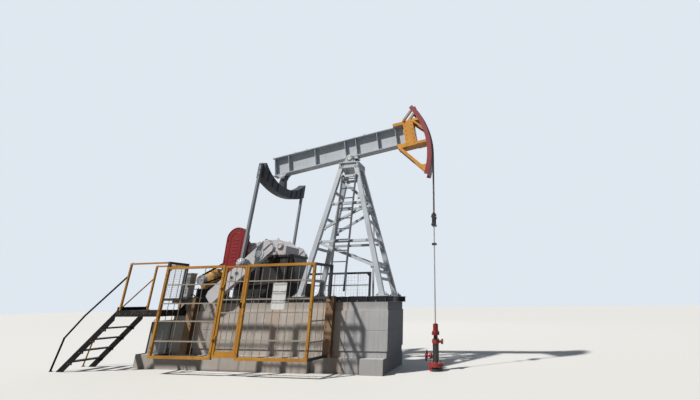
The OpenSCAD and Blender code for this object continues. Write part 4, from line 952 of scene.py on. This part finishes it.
for y, s in product((-0.86, -0.62, -0.36, 0.36, 0.62, 0.86), SIDES):
    x0, x1 = sorted((0.0, s * 0.018))
    shape.block((x0, -0.008, bow(y, 2.37, -0.605) + 0.03), (x1, 0.008, bow(y, 1.462, -0.34) - 0.03),
                PITMAN @ moved(s * 0.1202, y, 0))
shape.piece("equalizer_ribs", "navy", "pitman")
for s, y in product(SIDES, (-0.066, 0.066)):
    bolts.bolt(at(PITMAN, s * 0.088, y, -0.33), turned(PITMAN, UP), 0.026, 0.016)
bolts.piece("equalizer_bolts", "bolt", "pitman")

# Tail bearing: cover rings and nuts
for s in SIDES:
    m = frame_at(at(BEAM, TAIL_X, s * 0.1182, 0), ALONG, (0, s, 0))
    shape.lathe([(0.06, 0.0), (0.06, 0.008), (0.052, 0.012), (0.0001, 0.013)], m, 24)
    bolts.bolt_circle(m, 0.04, 0.0126, 4, 0.5, 0.012, 0.007)
shape.piece("tail_covers", "pale", "beam")
bolts.piece("tail_bolts", "bolt", "beam")

# Rope sockets on the carrier, rod clamps and their bolts
for s in SIDES:
    extra.lathe([(0.034, 0.0), (0.034, 0.018), (0.024, 0.03), (0.028, 0.06), (0.02, 0.12), (0.015, 0.126)],
               moved(WELL_X, s * 0.06, 3.8202), 20)
for (z, h), s in product(((3.8201, 0.08), (3.0201, 0.07)), SIDES):
    extra.block((WELL_X - 0.06, s * 0.026 - 0.018, z + 0.008),
               (WELL_X + 0.06, s * 0.026 + 0.018, z + h - 0.008), c=0.004)
    for x in (-0.048, 0.048):
        shape.bolt((WELL_X + x, s * 0.0445, z + h / 2), (0, s, 0), 0.02, 0.012)
for s, x, z in product(SIDES, (-0.022, 0.022), (3.6, 3.77)):
    shape.bolt((WELL_X + x, s * 0.1252, z), (0, s, 0), 0.016, 0.009, nut=False)
extra.piece("rope_sockets", "dark", "rod")
shape.piece("clamp_bolts", "bolt", "rod")

# Wellhead: flange, bonnet, packing and valve bolts, then plugs and a closed side outlet
for x, y in circle(0.15, 10, 0.5):
    bolts.bolt((WELL_X + x, y, 0.1802), UP, 0.034, 0.022)
    bolts.bolt((WELL_X + x, y, 0.0998), DOWN, 0.034, 0.018, False, False)
for low, high in zip(circle(0.074, 6, 0.5), circle(0.078, 6, 0.5)):
    bolts.bolt((WELL_X + low[0], low[1], 0.6902), UP, 0.022, 0.016)
    bolts.bolt((WELL_X + high[0], high[1], 0.8702), UP, 0.02, 0.014)
for y, z in circle(0.058, 4, 0.5):
    bolts.bolt((2.3598, y, VALVE_Z + z), (-1, 0, 0), 0.02, 0.012)
bolts.piece("wellhead_bolts", "bolt")
for s in SIDES:
    shape.lathe([(0.034, 0.0), (0.034, 0.035), (0.026, 0.04), (0.026, 0.06), (0.015, 0.064)],
                side_frame(WELL_X, 0.05, 0.745, s), 6, False)
shape.ring(0.017, 0.046, 1.0502, 1.062, moved(WELL_X, 0, 0))
shape.piece("wellhead_plugs", "black")
m = frame_at((2.585, 0, 0.65), (0, 1, 0), ALONG)
shape.lathe([(0.03, 0.0), (0.03, 0.055), (0.062, 0.056), (0.062, 0.074)], m, 24)
shape.lathe([(0.062, 0.0755), (0.062, 0.092), (0.055, 0.095)], m, 24)
shape.bolt_circle(m, 0.048, 0.0952, 6, 0.0, 0.014, 0.006)
shape.piece("wellhead_outlet", "red")
shape.bolt((2.2348, 0, VALVE_Z), (-1, 0, 0), 0.024, 0.014)
shape.piece("handwheel_nut", "bolt", "wheel")


# Guard: corner gussets, rod sockets, rail end plates and bolts
def gussets(shape, y, x0, x1, z0, z1, size):
    # A flat triangle in each corner of a frame
    for (x, dx), (z, dz) in product(((x0, 1), (x1, -1)), ((z0, 1), (z1, -1))):
        m = frame_at((x, y, z), (dx, 0, 0), (0, -dx * dz, 0))
        shape.prism([(0, 0), (size, 0), (0, size)], -0.003, 0.003, m)


PANELS = ((-4.19, -2.58, (0.74, 1.19, 1.6, 2.05)), (-1.83, -0.14, (0.78, 1.38, 1.68, 2.1)))
gussets(extra, FENCE_Y, -4.19, 0.12, FENCE_LOW, FENCE_TOP, 0.085)
extra.piece("far_guard_gussets", "dark")
for x0, x1, _ in PANELS:
    gussets(shape, -FENCE_Y, x0, x1, FENCE_LOW, FENCE_TOP, 0.085)
for z, x in product((0.5, 1.3, 2.2), (-4.22, -2.55, -1.86, -0.11)):
    shape.ring(0.008, 0.017, 0.0, 0.004, side_frame(x, 1.5302, z, -1), 16)
for x0, x1, rails in PANELS:
    for z, ends in product(rails, ((x0, x0 + 0.006), (x1 - 0.006, x1))):
        shape.block((ends[0], -1.522, z - 0.026), (ends[1], -1.478, z + 0.026), c=0.001)
shape.piece("guard_gussets", "fence")
for z, x in product((0.6, 1.45, 2.3), (-4.22, -0.11)):
    bolts.bolt((x, -1.5304, z), NEAR, 0.02, 0.012, nut=False)
bolts.piece("guard_bolts", "bolt")

# Wire mesh in the rear side panels
for s, label in ((-1, "near"), (1, "far")):
    (y0, y1), (z0, z1) = (1.47, 1.002), (1.735, 2.572)
    for k in range(1, 9):
        y = s * (y0 + (y1 - y0) * k / 9)
        shape.tube([(-4.22, y, z0), (-4.22, y, z1)], 0.0025, 5)
    for k in range(1, 16):
        z = z0 + (z1 - z0) * k / 16
        shape.tube([(-4.2252, s * y0, z), (-4.2252, s * y1, z)], 0.0025, 5)
    shape.piece("side_mesh_" + label, "steel")

# Wire mesh over the far guard
for k in range(1, 44):
    x = -4.19 + k * 0.098
    shape.tube([(x, 1.4835, FENCE_LOW), (x, 1.4835, FENCE_TOP)], 0.0022, 5)
for k in range(1, 21):
    z = FENCE_LOW + k * 0.096
    shape.tube([(-4.19, 1.479, z), (0.12, 1.479, z)], 0.0022, 5)
shape.piece("far_mesh", "steel")

# Gate latch on the leaf, with its keeper on the post
shape.block((-1.948, -1.532, 1.49), (-1.908, -1.5205, 1.61))
handle = ((-1.531, 1.52), (-1.557, 1.52), (-1.557, 1.58), (-1.531, 1.58))
shape.tube([(-1.93, y, z) for y, z in handle], 0.006, 8)
shape.piece("gate_latch", "black", "gate")
shape.block((-1.88, -1.54, 1.5), (-1.84, -1.5302, 1.6))
shape.piece("gate_keeper", "fence")
gussets(shape, -FENCE_Y, -2.456, -1.954, 0.54, 2.43, 0.07)
shape.piece("gate_gussets", "fence", "gate")

# Sign plates: raised rims and screws, with a painted band and no lettering
SIGN_Y = -1.5342
for i in range(3):
    z0, z1 = 1.44 + i * 0.205, 1.635 + i * 0.205
    shape.tube([(-1.112, SIGN_Y, z0 + 0.008), (-0.768, SIGN_Y, z0 + 0.008), (-0.768, SIGN_Y, z1 - 0.008),
                (-1.112, SIGN_Y, z1 - 0.008)], 0.003, 6, True)
    extra.block((-1.1, SIGN_Y - 0.0009, z1 - 0.06), (-0.78, SIGN_Y - 0.0001, z1 - 0.02), c=0.0)
    for x, z in product((-1.104, -0.776), (z0 + 0.016, z1 - 0.016)):
        bolts.bolt((x, SIGN_Y, z), NEAR, 0.009, 0.004, nut=False)
shape.piece("sign_rims", "white")
bolts.piece("sign_screws", "bolt")
extra.piece("sign_bands", "band")

# Outer columns: cap plates and bolts
for x, s in product((-3.99, 0.0), SIDES):
    shape.side_block(s, (x - 0.098, 0.682, 1.7302), (x + 0.098, 0.818, 1.742))
    for dx in (-0.065, 0.065):
        bolts.bolt((x + dx, s * 0.75, 1.7422), UP, 0.026, 0.016)
        for z in (0.5, 1.05, 1.45):
            bolts.bolt((x + dx, s * 0.8202, z), (0, s, 0), 0.024, 0.014, nut=False)
shape.piece("column_caps", "rust")
bolts.piece("column_bolts", "bolt")

# Platform: toe plate, rail base plates, brackets and bolts, then the rails' gussets and welds
shape.block((-5.536, -1.4995, DECK_Z), (-5.532, -0.684, 1.53), c=0.001)
for y in (-1.479, -0.75):
    shape.block((-5.51, y - 0.018, DECK_Z), (-5.37, y + 0.018, 1.453))
for k in range(7):
    bolts.bolt((-5.4 + k * 0.185, -1.5003, 1.365), NEAR, 0.02, 0.012, nut=False)
for x in (-5.5, -4.3):
    m = frame_at((x, -0.6925, 1.29), NEAR, ALONG)
    shape.prism([(0, -0.34), (0.3, 0), (0, 0)], -0.005, 0.005, m)
shape.piece("deck_fittings", "black")
bolts.piece("deck_bolts", "bolt")
for x in (-5.44, -4.42):
    shape.weld((x - 0.02, -0.772, 1.449), (x + 0.02, -0.772, 1.449), 0.004)
for x, y, d in ((-5.44, -1.479, 1), (-5.44, -0.75, 1), (-4.4, -0.75, -1)):
    shape.prism([(0, 0), (0.07, 0), (0, -0.07)], -0.003, 0.003, frame_at((x, y, 2.595), (d, 0, 0), (0, d, 0)))
shape.piece("rail_gussets", "yellow")

# Stair: tread cleats with bolts, and the feet of the handrails
STAIR_SLOPE = (1.445 - 0.075) / (6.9 - 5.54)
for i in range(4):
    z = 0.25 + i * 0.262
    x = -6.93 + z / STAIR_SLOPE
    shape.block((x - 0.004, -1.484, z - 0.034), (x + 0.01, -0.766, z + 0.003), c=0.001)
    for y0, y1 in ((-1.4878, -1.4818), (-0.7682, -0.7622)):
        shape.block((x + 0.02, y0, z - 0.09), (x + 0.17, y1, z - 0.031), c=0.001)
    for dx in (0.07, 0.15):
        bolts.bolt((x + dx, -1.5002, z - 0.06), NEAR, 0.018, 0.01, nut=False)
shape.piece("tread_cleats", "black")
bolts.piece("stair_bolts", "bolt")
for y in (-1.479, -0.75):
    shape.lathe([(0.04, 0.0), (0.04, 0.01), (0.03, 0.012), (0.026, 0.02)], moved(-7.12, y, 0))
shape.piece("handrail_foot", "black")

# Ladder: clips and bolts at the stand-offs
out = Vector((0, -math.cos(LEG_LEAN), math.sin(LEG_LEAN)))
for share, x in product((0.395, 0.695, 0.93), (-0.16, 0.26)):
    h = share * TOWER_H
    m = frame_at(Vector((x, -leg_y(h), SKID_Z + h)) + out * 0.0936, ALONG, out)
    shape.block((-0.028, -0.028, 0.0), (0.028, 0.028, 0.006), m, 0.001)
    shape.bolt(at(m, 0, 0, 0.0062), out, 0.018, 0.01, False)
shape.piece("ladder_clips", "bolt")

# Tower head: bolts through its sides and ends
for s, x, z in product(SIDES, (-0.29, -0.23, 0.2, 0.26), (5.42, 5.53)):
    bolts.bolt((x, s * 0.2727, z), (0, s, 0), 0.024, 0.013, nut=False)
for (x, d), y in product(((-0.3227, -1), (0.2927, 1)), (-0.2, -0.07, 0.07, 0.2)):
    bolts.bolt((x, y, 5.475), (d, 0, 0), 0.022, 0.012, nut=False)
bolts.piece("tower_head_bolts", "bolt")

# Rear block: lifting loops and corner angles
for x, y in product((-5.26, -4.66), (-0.6, 0.6)):
    loop = [(-0.05, 1.13)] + [(-a, z) for a, z in arch(0.05, 1.15, 8, 0.04)] + [(0.05, 1.13)]
    shape.tube([(x, y + a, z) for a, z in loop], 0.008, 8)
shape.piece("block_loops", "rust")
for s, (x0, x1) in product(SIDES, ((-5.3075, -5.261), (-4.663, -4.6165))):
    shape.block((x0, s * 0.6582 - 0.002, 0.36), (x1, s * 0.6582 + 0.002, 1.11), c=0.001)
shape.piece("block_angles", "dark")

size = {"before": [list(v) for v in bounds_before], "after": [list(v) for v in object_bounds()]}
